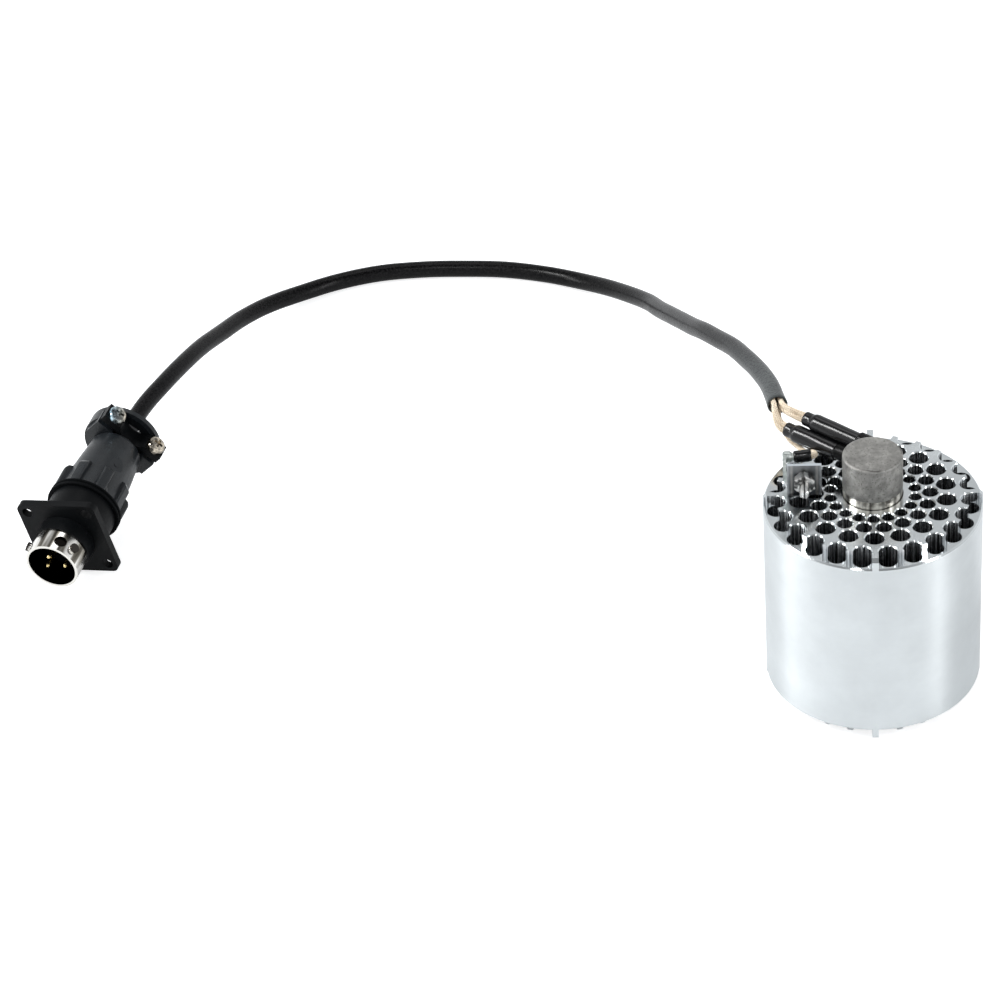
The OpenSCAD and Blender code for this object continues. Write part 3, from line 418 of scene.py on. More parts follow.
def cap_finish(look):
    """Blasted steel, with a rubbed edge and small chips."""
    f = Finish("blasted_steel", look.cap_color, 0.75, 0.55)
    grain = f.noise(f.place, 2600, 3.0, 0.7)
    cloud = f.noise(f.place, 320, 5.0, 0.7)
    tone = f.ramp(cloud, [
        (0.3, tinted(look.cap_color, 0.668)), (0.5, tuple(look.cap_color)),
        (0.72, tinted(look.cap_color, 1.6))])
    tone = f.mix(f.band(f.cells(f.place, 1500), 0.08, 0.3), (0.13, 0.125, 0.115), tone)
    # a dark chipped line runs round the rim of the cap, 7.2 mm out and just under its top
    x, y, z = f.split(f.place)
    wander = f.times(f.math("SUBTRACT", f.noise(f.place, 260, 3.0), 0.5), 1.6 * MM)
    rim = f.math("ABSOLUTE", f.math("SUBTRACT", f.math("ADD", f.reach(x, y), wander), 7.2 * MM))
    chip = f.times(f.band(rim, 0.02 * MM, 0.25 * MM, 1.0, 0.0), f.math("GREATER_THAN", z, 69.6 * MM))
    chip = f.times(chip, f.band(f.noise(f.place, 150, 2.0), 0.5, 0.6))
    f.color(f.mix(f.times(chip, 0.75), tone, (0.05, 0.047, 0.042)))
    f.rough(f.band(cloud, 0.3, 0.7, 0.42, 0.62))
    f.bump(grain, 0.3, 0.0001)
    f.bump(f.noise(f.place, 700, 3.0), 0.3, 0.00018)
    return f.mat


def plate_finish():
    """Sheet steel with painted light: painted shade darkening it towards its foot, painted highlight strips
    near its sides and a painted highlight on its top edge.
    """
    f = Finish("sheet_stainless", (0.3, 0.3, 0.305), 1.0, 0.12)
    x, _, z = f.split(f.place)
    # painted shade: darker towards the foot, lighter towards the top
    tone = f.mix(f.band(z, 61.5 * MM, 69 * MM), (0.06, 0.065, 0.07), (0.24, 0.25, 0.26))
    aside = f.math("ABSOLUTE", f.math("SUBTRACT", x, BRACKET_X))
    # painted highlights: bright strips near the plate's sides
    painted_side_highlights = f.ramp(f.band(aside, 2.6 * MM, 4.3 * MM), [
        (0.0, (0.0, 0.0, 0.0)), (0.35, (0.35, 0.33, 0.30)),
        (0.6, (0.1, 0.1, 0.1)), (0.95, (0.5, 0.51, 0.52))])
    tone = f.mix(0.6, tone, painted_side_highlights, "ADD")
    # painted highlight: faces that point up are painted bright
    up = f.band(f.split(f.normal())[2], 0.5, 0.9)
    f.color(f.mix(up, tone, (0.66, 0.71, 0.75)))
    grain = f.noise(f.mapped(f.place, (2400, 300, 160)), 1.0, 3.0)
    f.rough(f.band(grain, 0.3, 0.7, 0.36, 0.46))
    return f.mat


def bolt_finish():
    """Bright bolt with painted reflections: a dark line along its middle between two bright lines, and darker
    sides.
    """
    f = Finish("bright_bolt", (0.6, 0.6, 0.58), 1.0, 0.26)
    aside = f.math("ABSOLUTE", f.math("SUBTRACT", f.split(f.place)[0], BRACKET_X))
    # painted reflections across the bolt: a dark middle line, bright lines beside it, dark sides
    f.color(f.ramp(f.band(aside, 0.0, 1.4 * MM), [
        (0.06, (0.07, 0.07, 0.07)), (0.24, (0.8, 0.8, 0.78)),
        (0.6, (0.7, 0.7, 0.68)), (0.85, (0.12, 0.12, 0.12))]))
    return f.mat


def nut_finish():
    """Nut and washer, with painted highlights and shade in dark and bright patches."""
    f = Finish("dull_nut", (0.22, 0.22, 0.215), 1.0, 0.3)
    painted_nut_patches = f.noise(f.mapped(f.place, (500, 150, 500)), 1.0, 2.0)
    # painted highlights and shade: dark and bright patches in the colour
    f.color(f.ramp(painted_nut_patches, [(0.44, (0.10, 0.10, 0.098)), (0.56, (0.85, 0.84, 0.82))]))
    return f.mat


def zinc_finish():
    """Mottled zinc plating; the clamp screws carry painted reflection tints, one bluish and one warm."""
    f = Finish("zinc_plate", (0.74, 0.76, 0.78), 1.0, 0.18)
    cloud = f.noise(f.place, 700, 3.0)
    tone = f.ramp(cloud, [
        (0.38, (0.16, 0.165, 0.17)), (0.5, (0.42, 0.43, 0.44)), (0.64, (0.85, 0.86, 0.86))])
    # the clamp's two screws differ by a painted reflection tint: the one with the lower x is bluish, the
    # other warm
    x = f.split(f.place)[0]
    warm_reflection_side = f.band(x, -208 * MM, -204 * MM)
    far = f.math("LESS_THAN", x, -100 * MM)
    tint = f.mix(warm_reflection_side, (0.62, 0.86, 1.0), (1.0, 0.88, 0.72))
    f.color(f.mix(1.0, tone, f.mix(far, (0.95, 0.98, 1.0), tint), "MULTIPLY"))
    f.rough(f.band(cloud, 0.3, 0.7, 0.08, 0.2))
    return f.mat


def tin_finish():
    """Dull tinned copper."""
    f = Finish("tinned_terminal", (0.72, 0.74, 0.72), 1.0, 0.3)
    cloud = f.noise(f.place, 900, 3.0)
    f.color(f.ramp(cloud, [(0.35, (0.46, 0.50, 0.48)), (0.65, (0.68, 0.72, 0.70))]))
    f.rough(f.band(cloud, 0.3, 0.7, 0.3, 0.42))
    return f.mat


def nickel_finish(look):
    """Nickel shell with painted reflection streaks, a painted highlight on its lip, and painted shade in its
    bore, on its lugs and in a dimple in its side.
    """
    f = Finish("nickel_shell", (0.70, 0.66, 0.58), 1.0, 0.24)
    own = f.in_plug()
    parts = f.split(own)
    radius = f.reach(parts[0], parts[1])
    reflection_streaks = f.noise(f.mapped(own, (330, 330, 30)), 1.0, 2.0, 0.5)
    # painted reflections: dark and bright streaks in the shell's colour
    tone = f.ramp(reflection_streaks, [
        (0.36, (0.04, 0.034, 0.026)), (0.46, (0.3, 0.28, 0.24)), (0.55, (0.95, 0.93, 0.89))])
    # painted highlight: past the lip height the shell is painted bright
    tone = f.mix(f.math("GREATER_THAN", parts[2], look.shell_lip_highlight), tone, (0.85, 0.83, 0.78))
    # painted shade: a dark disc where the dimple is
    dimple = (3.7 * MM, 6.4 * MM, 8 * MM)
    off = f.reach(*(f.math("SUBTRACT", part, at) for part, at in zip(parts, dimple)))
    tone = f.mix(f.math("LESS_THAN", off, 1.75 * MM), tone, (0.008, 0.007, 0.006))
    # painted shade: the lugs, past 7.6 mm out, are painted darker
    tone = f.mix(f.band(radius, 7.6 * MM, 8.2 * MM), tone, (0.05, 0.045, 0.04))
    # painted shade: the bore is painted near black
    f.color(f.mix(f.math("LESS_THAN", radius, look.shell_bore_shade_radius), tone, (0.006, 0.005, 0.004)))
    f.rough(f.band(reflection_streaks, 0.3, 0.7, 0.12, 0.24))
    return f.mat


def gold_finish():
    """Gilt contact pins."""
    f = Finish("gold_contact", (0.83, 0.66, 0.32), 1.0, 0.2)
    cloud = f.noise(f.place, 1500, 2.0)
    f.rough(f.band(cloud, 0.3, 0.7, 0.14, 0.3))
    return f.mat


def sleeve_finish(look):
    """Shrunk black tubing: glossy, with small dents and dust."""
    f = Finish("shrink_tubing", look.sleeve_color, 0.0, 0.24, Specular_IOR_Level=0.42)
    dents = f.noise(f.place, 240, 2.0, 0.4)
    dust = f.noise(f.place, 2600, 4.0, 0.8)
    f.color(f.ramp(dust, [(0.62, tuple(look.sleeve_color)), (0.8, (0.04, 0.04, 0.042))]))
    f.rough(f.band(dust, 0.35, 0.75, 0.19, 0.3))
    f.bump(dents, 0.08, 0.0003)
    return f.mat


def boot_finish():
    """Dark moulded boot round the leads; its black also stands in for painted shade under the sleeves at the
    lead exit.
    """
    f = Finish("moulded_boot", (0.002, 0.002, 0.002), 0.0, 0.3, Specular_IOR_Level=0.15)
    dents = f.noise(f.place, 300, 3.0, 0.5)
    f.rough(f.band(dents, 0.3, 0.7, 0.24, 0.42))
    f.bump(dents, 0.25, 0.0004)
    return f.mat


def braid_finish(look):
    """Cream glass braid, with a fibre grain along each yarn."""
    f = Finish("glass_braid", look.braid_color, 0.0, 0.6, Sheen_Weight=0.2)
    fibre = f.noise(f.mapped(f.uv, (40, 900, 1)), 1.0, 3.0, 0.6)
    cloud = f.noise(f.place, 420, 3.0)
    tone = f.ramp(cloud, [
        (0.3, tinted(look.braid_color, (0.75, 0.691, 0.615))), (0.55, tuple(look.braid_color)),
        (0.8, tinted(look.braid_color, (1.125, 1.191, 1.288)))])
    f.color(f.mix(f.band(fibre, 0.35, 0.65, 0.0, 0.25), tone, (0.95, 0.88, 0.76)))
    f.bump(fibre, 0.3, 0.00008)
    return f.mat


def hose_finish(look):
    """Dark hose: greyer near its mouth, where a sheen is painted in, and speckled towards the clamp."""
    f = Finish("ribbed_hose", look.hose_mouth_sheen_color, 0.0, 0.34, Specular_IOR_Level=0.14)
    along = f.split(f.uv)[1]
    speck = f.noise(f.place, 1500, 5.0, 0.75)
    cloud = f.noise(f.place, 110, 3.0)
    # painted sheen: near its mouth the hose is painted greyer, standing in for light reflecting off it
    mouth_sheen = f.ramp(cloud, [
        (0.3, tinted(look.hose_mouth_sheen_color, (0.588, 0.591, 0.613))), (0.7, tuple(look.hose_mouth_sheen_color))])
    far = f.ramp(speck, [(0.45, (0.001, 0.001, 0.0013)), (0.7, (0.012, 0.0115, 0.012))])
    f.color(f.mix(f.band(along, 0.008, 0.055), mouth_sheen, far))
    f.rough(f.band(speck, 0.35, 0.7, 0.22, 0.36))
    f.bump(speck, 0.12, 0.0002)
    return f.mat


def moulded_finish(look, name="moulded_black", value=1.0, roughness=0.42, grain=1800, shine=0.11):
    """Black moulded plastic with a fine spark texture."""
    c = tinted(look.plug_color, value)
    f = Finish(name, c, 0.0, roughness, Specular_IOR_Level=shine)
    spark = f.noise(f.place, grain, 3.0, 0.7)
    cloud = f.noise(f.place, 160, 3.0)
    f.color(f.ramp(cloud, [(0.3, tinted(c, 0.8)), (0.75, tinted(c, 1.35))]))
    f.rough(f.band(spark, 0.3, 0.7, roughness - 0.07, roughness + 0.1))
    f.bump(spark, 0.2, 0.0001)
    return f.mat


def ceramic_finish():
    """White ceramic of the heater's inside."""
    f = Finish("white_ceramic", (0.82, 0.80, 0.74), 0.0, 0.5)
    f.bump(f.noise(f.place, 1500, 3.0), 0.15, 0.0001)
    return f.mat


def dress(node, finish):
    """Gives a CAD node its finish on every slot."""
    mesh = NODES[node].data
    if not mesh.materials:
        mesh.materials.append(finish)
    for i in range(len(mesh.materials)):
        mesh.materials[i] = finish


# ---------------------------------------------------------------- settings


class BlockLook(bpy.types.PropertyGroup):
    block_color: bpy.props.FloatVectorProperty(
        name="Block colour", description="Base colour of the aluminium block", subtype="COLOR",
        default=(0.80, 0.84, 0.855), min=0, max=1)
    block_roughness: bpy.props.FloatProperty(
        name="Side roughness", description="Roughness of the turned side", default=0.34, min=0.05, max=1)
    side_radius: bpy.props.FloatProperty(
        name="Side radius", description="Beyond this radius the block is its turned side, within it a hole",
        default=27.35 * MM, min=10 * MM, max=40 * MM, unit="LENGTH", precision=5)
    face_roughness: bpy.props.FloatProperty(
        name="Face roughness", description="Roughness of the flat end faces", default=0.12, min=0.02, max=1)
    cap_color: bpy.props.FloatVectorProperty(
        name="Cap colour", description="Base colour of the heater's cap", subtype="COLOR",
        default=(0.30, 0.295, 0.28), min=0, max=1)
    sleeve_color: bpy.props.FloatVectorProperty(
        name="Sleeve colour", description="Colour of the black sleeves", subtype="COLOR",
        default=(0.003, 0.003, 0.0035), min=0, max=1)
    braid_color: bpy.props.FloatVectorProperty(
        name="Braid colour", description="Colour of the braided strands", subtype="COLOR",
        default=(0.80, 0.68, 0.52), min=0, max=1)
    # painted sheen: the grey the hose is painted near its mouth, standing in for reflected light
    hose_mouth_sheen_color: bpy.props.FloatVectorProperty(
        name="Hose colour", description="Colour of the hose near its mouth", subtype="COLOR",
        default=(0.085, 0.093, 0.093), min=0, max=1)
    # painted shade: within this radius the shell's bore is painted dark
    shell_bore_shade_radius: bpy.props.FloatProperty(
        name="Shell bore radius", description="Within this radius the metal shell is dark",
        default=6.75 * MM, min=5 * MM, max=7.5 * MM, unit="LENGTH", precision=5)
    # painted highlight: past this height the shell's lip is painted bright
    shell_lip_highlight: bpy.props.FloatProperty(
        name="Shell lip", description="Height on the receptacle's axis past which the shell is bright",
        default=11.12 * MM, min=10 * MM, max=12 * MM, unit="LENGTH", precision=5)
    plug_color: bpy.props.FloatVectorProperty(
        name="Receptacle colour", description="Colour of the moulded receptacle", subtype="COLOR",
        default=(0.0021, 0.0026, 0.0031), min=0, max=1)


class LeadSizes(bpy.types.PropertyGroup):
    strand: bpy.props.FloatProperty(
        name="Strand diameter", description="Diameter of one braided strand", default=1.48 * MM,
        min=0.5 * MM, max=2 * MM, unit="LENGTH", precision=5)
    yarns: bpy.props.IntProperty(
        name="Yarns", description="Yarns that turn each way round a strand", default=5, min=3, max=8)
    lay: bpy.props.FloatProperty(
        name="Braid lay", description="Length of one turn of a yarn", default=3.4 * MM,
        min=1 * MM, max=10 * MM, unit="LENGTH", precision=5)
    hose: bpy.props.FloatProperty(
        name="Hose diameter", description="Outside diameter of the hose", default=5 * MM,
        min=4 * MM, max=6 * MM, unit="LENGTH", precision=5)
    hose_bore: bpy.props.FloatProperty(
        name="Hose bore", description="Bore of the hose at its mouth", default=4.3 * MM,
        min=3 * MM, max=4.6 * MM, unit="LENGTH", precision=5)


class StageLook(bpy.types.PropertyGroup):
    floor_color: bpy.props.FloatVectorProperty(
        name="Floor colour", description="Colour of the floor", subtype="COLOR",
        default=(0.6, 0.61, 0.62), min=0, max=1)
    floor_glow: bpy.props.FloatProperty(
        name="Floor glow", description="Light that the floor adds towards the camera",
        default=0.75, min=0, max=1)
    floor_mirrored: bpy.props.FloatProperty(
        name="Mirrored floor", description="Light that the floor adds in reflections",
        default=0.22, min=0, max=1)
    lens: bpy.props.FloatProperty(
        name="Lens", description="Focal length of the camera in millimetres", default=131.2, min=10, max=300)


# ---------------------------------------------------------------- geometry node trees


class Tree:
    """A geometry node tree that takes one geometry and named sizes, with short calls for its nodes."""

    def __init__(self, name, takes, sizes):
        self.tree = bpy.data.node_groups.new(name, "GeometryNodeTree")
        self.nodes, self.links = self.tree.nodes, self.tree.links
        face = self.tree.interface
        face.new_socket(takes, in_out="INPUT", socket_type="NodeSocketGeometry")
        self.sizes = {}
        for key, value in sizes.items():
            kind = "NodeSocketInt" if isinstance(value, int) else "NodeSocketFloat"
            self.sizes[key] = face.new_socket(key, in_out="INPUT", socket_type=kind)
            self.sizes[key].default_value = value
        face.new_socket("Piece", in_out="OUTPUT", socket_type="NodeSocketGeometry")
        self.given = self.nodes.new("NodeGroupInput").outputs

    def node(self, kind, **inputs):
        """A node with its inputs linked or set. An underscore in a name is a space."""
        node = self.nodes.new(kind)
        for key, value in inputs.items():
            self.put(value, node.inputs[key.replace("_", " ")])
        return node

    def put(self, value, socket):
        if isinstance(value, (int, float)):
            socket.default_value = value
        else:
            self.links.new(value, socket)

    def math(self, op, *values):
        node = self.nodes.new("ShaderNodeMath")
        node.operation = op
        for value, socket in zip(values, node.inputs):
            self.put(value, socket)
        return node.outputs[0]

    def vector(self, op, *values):
        node = self.nodes.new("ShaderNodeVectorMath")
        node.operation = op
        for value, socket in zip(values, node.inputs):
            self.put(value, socket)
        return node.outputs[0]

    def scaled(self, vector, factor):
        node = self.nodes.new("ShaderNodeVectorMath")
        node.operation = "SCALE"
        self.put(vector, node.inputs[0])
        self.put(factor, node.inputs["Scale"])
        return node.outputs[0]

    def skin(self, line, radius, corners):
        """A round skin on a curve, with closed ends."""
        ring = self.node("GeometryNodeCurvePrimitiveCircle", Resolution=corners, Radius=radius)
        skin = self.node(
            "GeometryNodeCurveToMesh", Curve=line, Profile_Curve=ring.outputs["Curve"], Fill_Caps=True)
        return skin.outputs["Mesh"]

    def close(self, mesh, finish):
        """Smooths, realizes and paints the result."""
        smooth = self.node("GeometryNodeSetShadeSmooth", Geometry=mesh)
        real = self.node("GeometryNodeRealizeInstances", Geometry=smooth.outputs["Geometry"])
        paint = self.node("GeometryNodeSetMaterial", Geometry=real.outputs["Geometry"])
        paint.inputs["Material"].default_value = finish
        result = self.nodes.new("NodeGroupOutput")
        self.links.new(paint.outputs["Geometry"], result.inputs["Piece"])


def braid_tree(finish):
    """Yarns that wind both ways round a line, over and under each other."""
    t = Tree("braid", "Line", {
        "Radius": 0.5 * MM, "Yarn radius": 0.16 * MM, "Lay": 3.4 * MM, "Yarns": 5, "Step": 0.2 * MM})
    yarns, yarn_radius = t.given["Yarns"], t.given["Yarn radius"]
    line = t.node("GeometryNodeMeshToCurve", Mesh=t.given["Line"])
    even = t.nodes.new("GeometryNodeResampleCurve")
    even.mode = "LENGTH"
    t.put(line.outputs["Curve"], even.inputs["Curve"])
    t.put(t.given["Step"], even.inputs["Length"])
    copies = t.nodes.new("GeometryNodeDuplicateElements")
    copies.domain = "SPLINE"
    t.put(even.outputs["Curve"], copies.inputs["Geometry"])
    t.put(t.math("MULTIPLY", yarns, 2), copies.inputs["Amount"])
    # even copies wind one way round the line, odd ones the other
    index = copies.outputs["Duplicate Index"]
    way = t.math("SUBTRACT", t.math("MULTIPLY", t.math("MODULO", index, 2), 2), 1)
    pair = t.math("FLOOR", t.math("DIVIDE", index, 2))
    phase = t.math("DIVIDE", t.math("MULTIPLY", pair, 2 * math.pi), yarns)
    run = t.nodes.new("GeometryNodeSplineParameter").outputs["Length"]
    turn = t.math("DIVIDE", t.math("MULTIPLY", run, 2 * math.pi), t.given["Lay"])
    angle = t.math("ADD", t.math("MULTIPLY", turn, way), phase)
    quarter = t.math("MULTIPLY", way, math.pi / 2)
    wave = t.math("SINE", t.math("ADD", t.math("MULTIPLY", turn, yarns), quarter))
    over = t.math("MULTIPLY", t.math("MULTIPLY", wave, way), t.math("MULTIPLY", yarn_radius, 0.35))
    reach = t.math("ADD", t.given["Radius"], over)
    normal = t.nodes.new("GeometryNodeInputNormal").outputs["Normal"]
    tangent = t.nodes.new("GeometryNodeInputTangent").outputs["Tangent"]
    cross = t.vector("CROSS_PRODUCT", tangent, normal)
    offset = t.vector(
        "ADD", t.scaled(normal, t.math("MULTIPLY", t.math("COSINE", angle), reach)),
        t.scaled(cross, t.math("MULTIPLY", t.math("SINE", angle), reach)))
    shift = t.node("GeometryNodeSetPosition", Geometry=copies.outputs["Geometry"], Offset=offset)
    t.close(t.skin(shift.outputs["Geometry"], yarn_radius, 6), finish)
    return t


def thread_tree(finish):
    """A helical thread of a stated length, added to its base."""
    t = Tree("thread", "Base", {"Radius": 1.2 * MM, "Length": 4 * MM, "Turns": 9.0, "Depth": 0.1 * MM})
    radius = t.given["Radius"]
    spiral = t.node(
        "GeometryNodeCurveSpiral", Resolution=28, Rotations=t.given["Turns"], Start_Radius=radius,
        End_Radius=radius, Height=t.given["Length"])
    join = t.node("GeometryNodeJoinGeometry", Geometry=t.skin(spiral.outputs["Curve"], t.given["Depth"], 5))
    t.put(t.given["Base"], join.inputs["Geometry"])
    t.close(join.outputs["Geometry"], finish)
    return t


def grown(name, base, tree, values, finish, matrix=None):
    """Runs a tree on a base mesh and keeps the result as a plain mesh piece."""
    holder = bpy.data.objects.new(name + "_base", base)
    bpy.context.scene.collection.objects.link(holder)
    modifier = holder.modifiers.new("tree", "NODES")
    modifier.node_group = tree.tree
    for key, value in values.items():
        modifier[tree.sizes[key].identifier] = value
    graph = bpy.context.evaluated_depsgraph_get()
    graph.update()
    mesh = bpy.data.meshes.new_from_object(holder.evaluated_get(graph))
    mesh.name = name
    holder.modifiers.clear()
    bpy.data.objects.remove(holder)
    if matrix:
        mesh.transform(matrix)
    mesh.materials.clear()
    mesh.materials.append(finish)
    piece = bpy.data.objects.new(name, mesh)
    bpy.context.scene.collection.objects.link(piece)
    return piece


def line_mesh(name, lines):
    """A mesh of edges along each line."""
    mesh = bpy.data.meshes.new(name)
    verts, edges = [], []
    for line in lines:
        start = len(verts)
        verts += [tuple(p) for p in line]
        edges += [(start + i, start + i + 1) for i in range(len(line) - 1)]
    mesh.from_pydata(verts, edges, [])
    return mesh


# ---------------------------------------------------------------- stage


class BLOCK_OT_stage(bpy.types.Operator):
    """Camera, floor, world and soft lamps"""
    bl_idname = "tube_block.stage"
    bl_label = "Stage"

    def execute(self, context):
        scene = context.scene
        look = scene.tube_stage
        scene.view_settings.view_transform = "Standard"
        camera = bpy.data.cameras.new("camera")
        camera.lens = look.lens
        camera.sensor_width = 36
        camera.clip_start = 0.05
        camera.clip_end = 20
        eye = bpy.data.objects.new("camera", camera)
        scene.collection.objects.link(eye)
        # the camera looks down and a little to the left, and is rolled
        down, yaw, roll = math.radians(37.08), math.radians(-5.9), math.radians(-4.5)
        ahead = Vector((math.sin(yaw) * math.cos(down), math.cos(yaw) * math.cos(down), -math.sin(down)))
        right = Vector((math.cos(yaw), -math.sin(yaw), 0))
        above = right.cross(ahead)
        turned = math.cos(roll) * right + math.sin(roll) * above
        upward = -math.sin(roll) * right + math.cos(roll) * above
        basis = Matrix((turned, upward, -ahead)).transposed().to_4x4()
        place = Vector((-18.17, -730.26, 612.35)) * MM
        eye.matrix_world = Matrix.Translation(place) @ basis
        scene.camera = eye

        floor = mesh_piece(
            "floor", [(-3, -3, 0), (3, -3, 0), (3, 3, 0), (-3, 3, 0)], [(0, 1, 2, 3)],
            self.floor_finish(look), smooth=False)
        self.world(scene)
        # place, target, width and height, and power of each lamp
        self.lamp("left", (-0.9, -0.03, 0.5), (-0.05, 0.05, 0.03), (0.12, 0.8), 4.5)
        self.lamp("right", (0.78, -0.38, 0.45), (-0.05, 0.05, 0.03), (0.08, 0.8), 3.0)
        self.lamp("upper_left", (-0.72, -0.04, 0.88), (-0.05, 0.05, 0.03), (0.24, 0.24), 5.0)
        self.lamp("top", (-0.1, 0.6, 1.15), (-0.1, 0.05, 0.0), (0.5, 0.5), 1.5)
        self.lamp("glint", (-0.35, -0.9, 1.5), (-0.05, 0.02, 0.03), (0.16, 0.16), 2.5)
        return {"FINISHED"}

    def floor_finish(self, look):
        """Plain floor that is white to the camera, and a little lighter in reflections."""
        f = Finish("floor", look.floor_color, 0.0, 0.9)
        ray = f.nodes.new("ShaderNodeLightPath")
        mirrored = f.times(ray.outputs["Is Glossy Ray"], look.floor_mirrored)
        seen = f.times(ray.outputs["Is Camera Ray"], look.floor_glow)
        glow = f.nodes.new("ShaderNodeEmission")
        f.link(f.math("ADD", seen, mirrored), glow.inputs["Strength"])
        both = f.nodes.new("ShaderNodeAddShader")
        f.link(f.shader.outputs[0], both.inputs[0])
        f.link(glow.outputs[0], both.inputs[1])
        f.link(both.outputs[0], f.nodes["Material Output"].inputs["Surface"])
        return f.mat

    def world(self, scene):
        """Soft even light. The camera and reflections see a sky that darkens overhead."""
        world = bpy.data.worlds.new("studio")
        scene.world = world
        world.use_nodes = True
        nodes, links = world.node_tree.nodes, world.node_tree.links
        soft = nodes["Background"]
        soft.inputs["Color"].default_value = (0.96, 0.98, 1.0, 1)
        soft.inputs["Strength"].default_value = 0.55
        white = nodes.new("ShaderNodeBackground")
        white.inputs["Strength"].default_value = 1.0
        coords = nodes.new("ShaderNodeTexCoord")
        parts = nodes.new("ShaderNodeSeparateXYZ")
        links.new(coords.outputs["Generated"], parts.inputs[0])
        shade = nodes.new("ShaderNodeValToRGB")
        stops = shade.color_ramp
        while len(stops.elements) < 4:
            stops.elements.new(0.5)
        for stop, (at, grey) in zip(stops.elements, ((0.0, 0.95), (0.4, 0.8), (0.68, 0.55), (0.85, 0.1))):
            stop.position = at
            stop.color = (grey * 0.97, grey * 0.985, grey, 1)
        links.new(parts.outputs["Z"], shade.inputs["Fac"])
        links.new(shade.outputs["Color"], white.inputs["Color"])
        ray = nodes.new("ShaderNodeLightPath")
        seen = nodes.new("ShaderNodeMath")
        seen.operation = "MAXIMUM"
        links.new(ray.outputs["Is Camera Ray"], seen.inputs[0])
        links.new(ray.outputs["Is Glossy Ray"], seen.inputs[1])
        both = nodes.new("ShaderNodeMixShader")
        links.new(seen.outputs[0], both.inputs[0])
        links.new(soft.outputs[0], both.inputs[1])
        links.new(white.outputs[0], both.inputs[2])
        links.new(both.outputs[0], nodes["World Output"].inputs["Surface"])

    def lamp(self, name, at, target, size, power):
        """An area lamp that points at its target."""
        light = bpy.data.lights.new(name, "AREA")
        light.shape = "RECTANGLE"
        light.size, light.size_y = size
        light.energy = power
        piece = bpy.data.objects.new(name, light)
        bpy.context.scene.collection.objects.link(piece)
        piece.location = at
        piece.rotation_euler = (Vector(target) - Vector(at)).to_track_quat("-Z", "Y").to_euler()


# ---------------------------------------------------------------- pieces


class BLOCK_OT_hose(bpy.types.Operator):
    """The hose from its open mouth to the cable clamp"""
    bl_idname = "tube_block.hose"
    bl_label = "Hose"

    def execute(self, context):
        scene = context.scene
        size = scene.tube_leads
        outer, bore = size.hose / 2, size.hose_bore / 2
        line = catmull(HOSE_ROUTE, 0.9 * MM)
        sides, seam_angle = 32, 2.5

        def radius(run, a):
            flare = 0.14 * MM * math.exp(-run / (3 * MM))
            off = math.atan2(math.sin(a - seam_angle), math.cos(a - seam_angle))
            seam = 0.07 * MM * math.exp(-(off / 0.12) ** 2) * max(0.0, 1 - run / (90 * MM))
            ripple = 0.03 * MM * noise.noise(Vector((math.cos(a) * 0.8, math.sin(a) * 0.8, run / (9 * MM))))
            return outer + flare + seam + ripple

        verts, faces, uvs = swept_skin(line, radius, sides)
        faces.pop(-2)  # the cap over the mouth
        # the mouth turns in over a rounded lip to the bore, which is closed further in
        p, d, side, up = line_frames(line)[0]
        lip = [
            (outer + 0.05 * MM, -0.10 * MM), ((outer + bore) / 2, -0.16 * MM),
            (bore + 0.02 * MM, -0.06 * MM), (bore, 0.3 * MM), (bore, 2.5 * MM), (bore, 7 * MM),
        ]
        last = list(range(sides))
        for r, depth in lip:
            ring = list(range(len(verts), len(verts) + sides))
            verts += circle(p + depth * d, side, up, r, sides)
            for k in range(sides):
                j = (k + 1) % sides
                uvs.append((k / sides, max(depth, 0)))
                faces.append((last[k], last[j], ring[j], ring[k]))
            last = ring
        faces.append(tuple(last))
        hose = mesh_piece("hose", verts, faces, hose_finish(scene.tube_look), uvs)
        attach(hose, "root")
        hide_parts("cable_hose")
        return {"FINISHED"}


def into_hose(point):
    """Points that run 5 mm on from a point at the hose mouth."""
    return [point + MOUTH_DIR * MM * k for k in (1, 2, 3, 4, 5)]


def strand_line(lead, inside, sign, across, leaves, arrives, spread, strand):
    """Centre line of one strand, from its splice to 5 mm inside the hose."""
    start, end, off, rise = lead
    half = strand / 2

    def exit_point(length):
        return length * EXIT_DIR + off * EXIT_SIDE + Vector((0, 0, SHEATH_TOP + rise))

    start += inside
    shift = sign * (half + 0.03 * MM) * PAIR_DIR
    wide = sign * (half + spread)
    a = exit_point(end)
    mouth = MOUTH + across * MOUTH_SIDE
    last = mouth + sign * (half + 0.04 * MM) * MOUTH_UP
    covered = [exit_point(start + (end - start) * i / 6) + shift for i in range(6)]
    free = bezier(
        a + shift, a + leaves * EXIT_DIR + wide * PAIR_DIR,
        mouth + wide * MOUTH_UP - arrives * MOUTH_DIR, last, 24)
    return covered + free + into_hose(last)


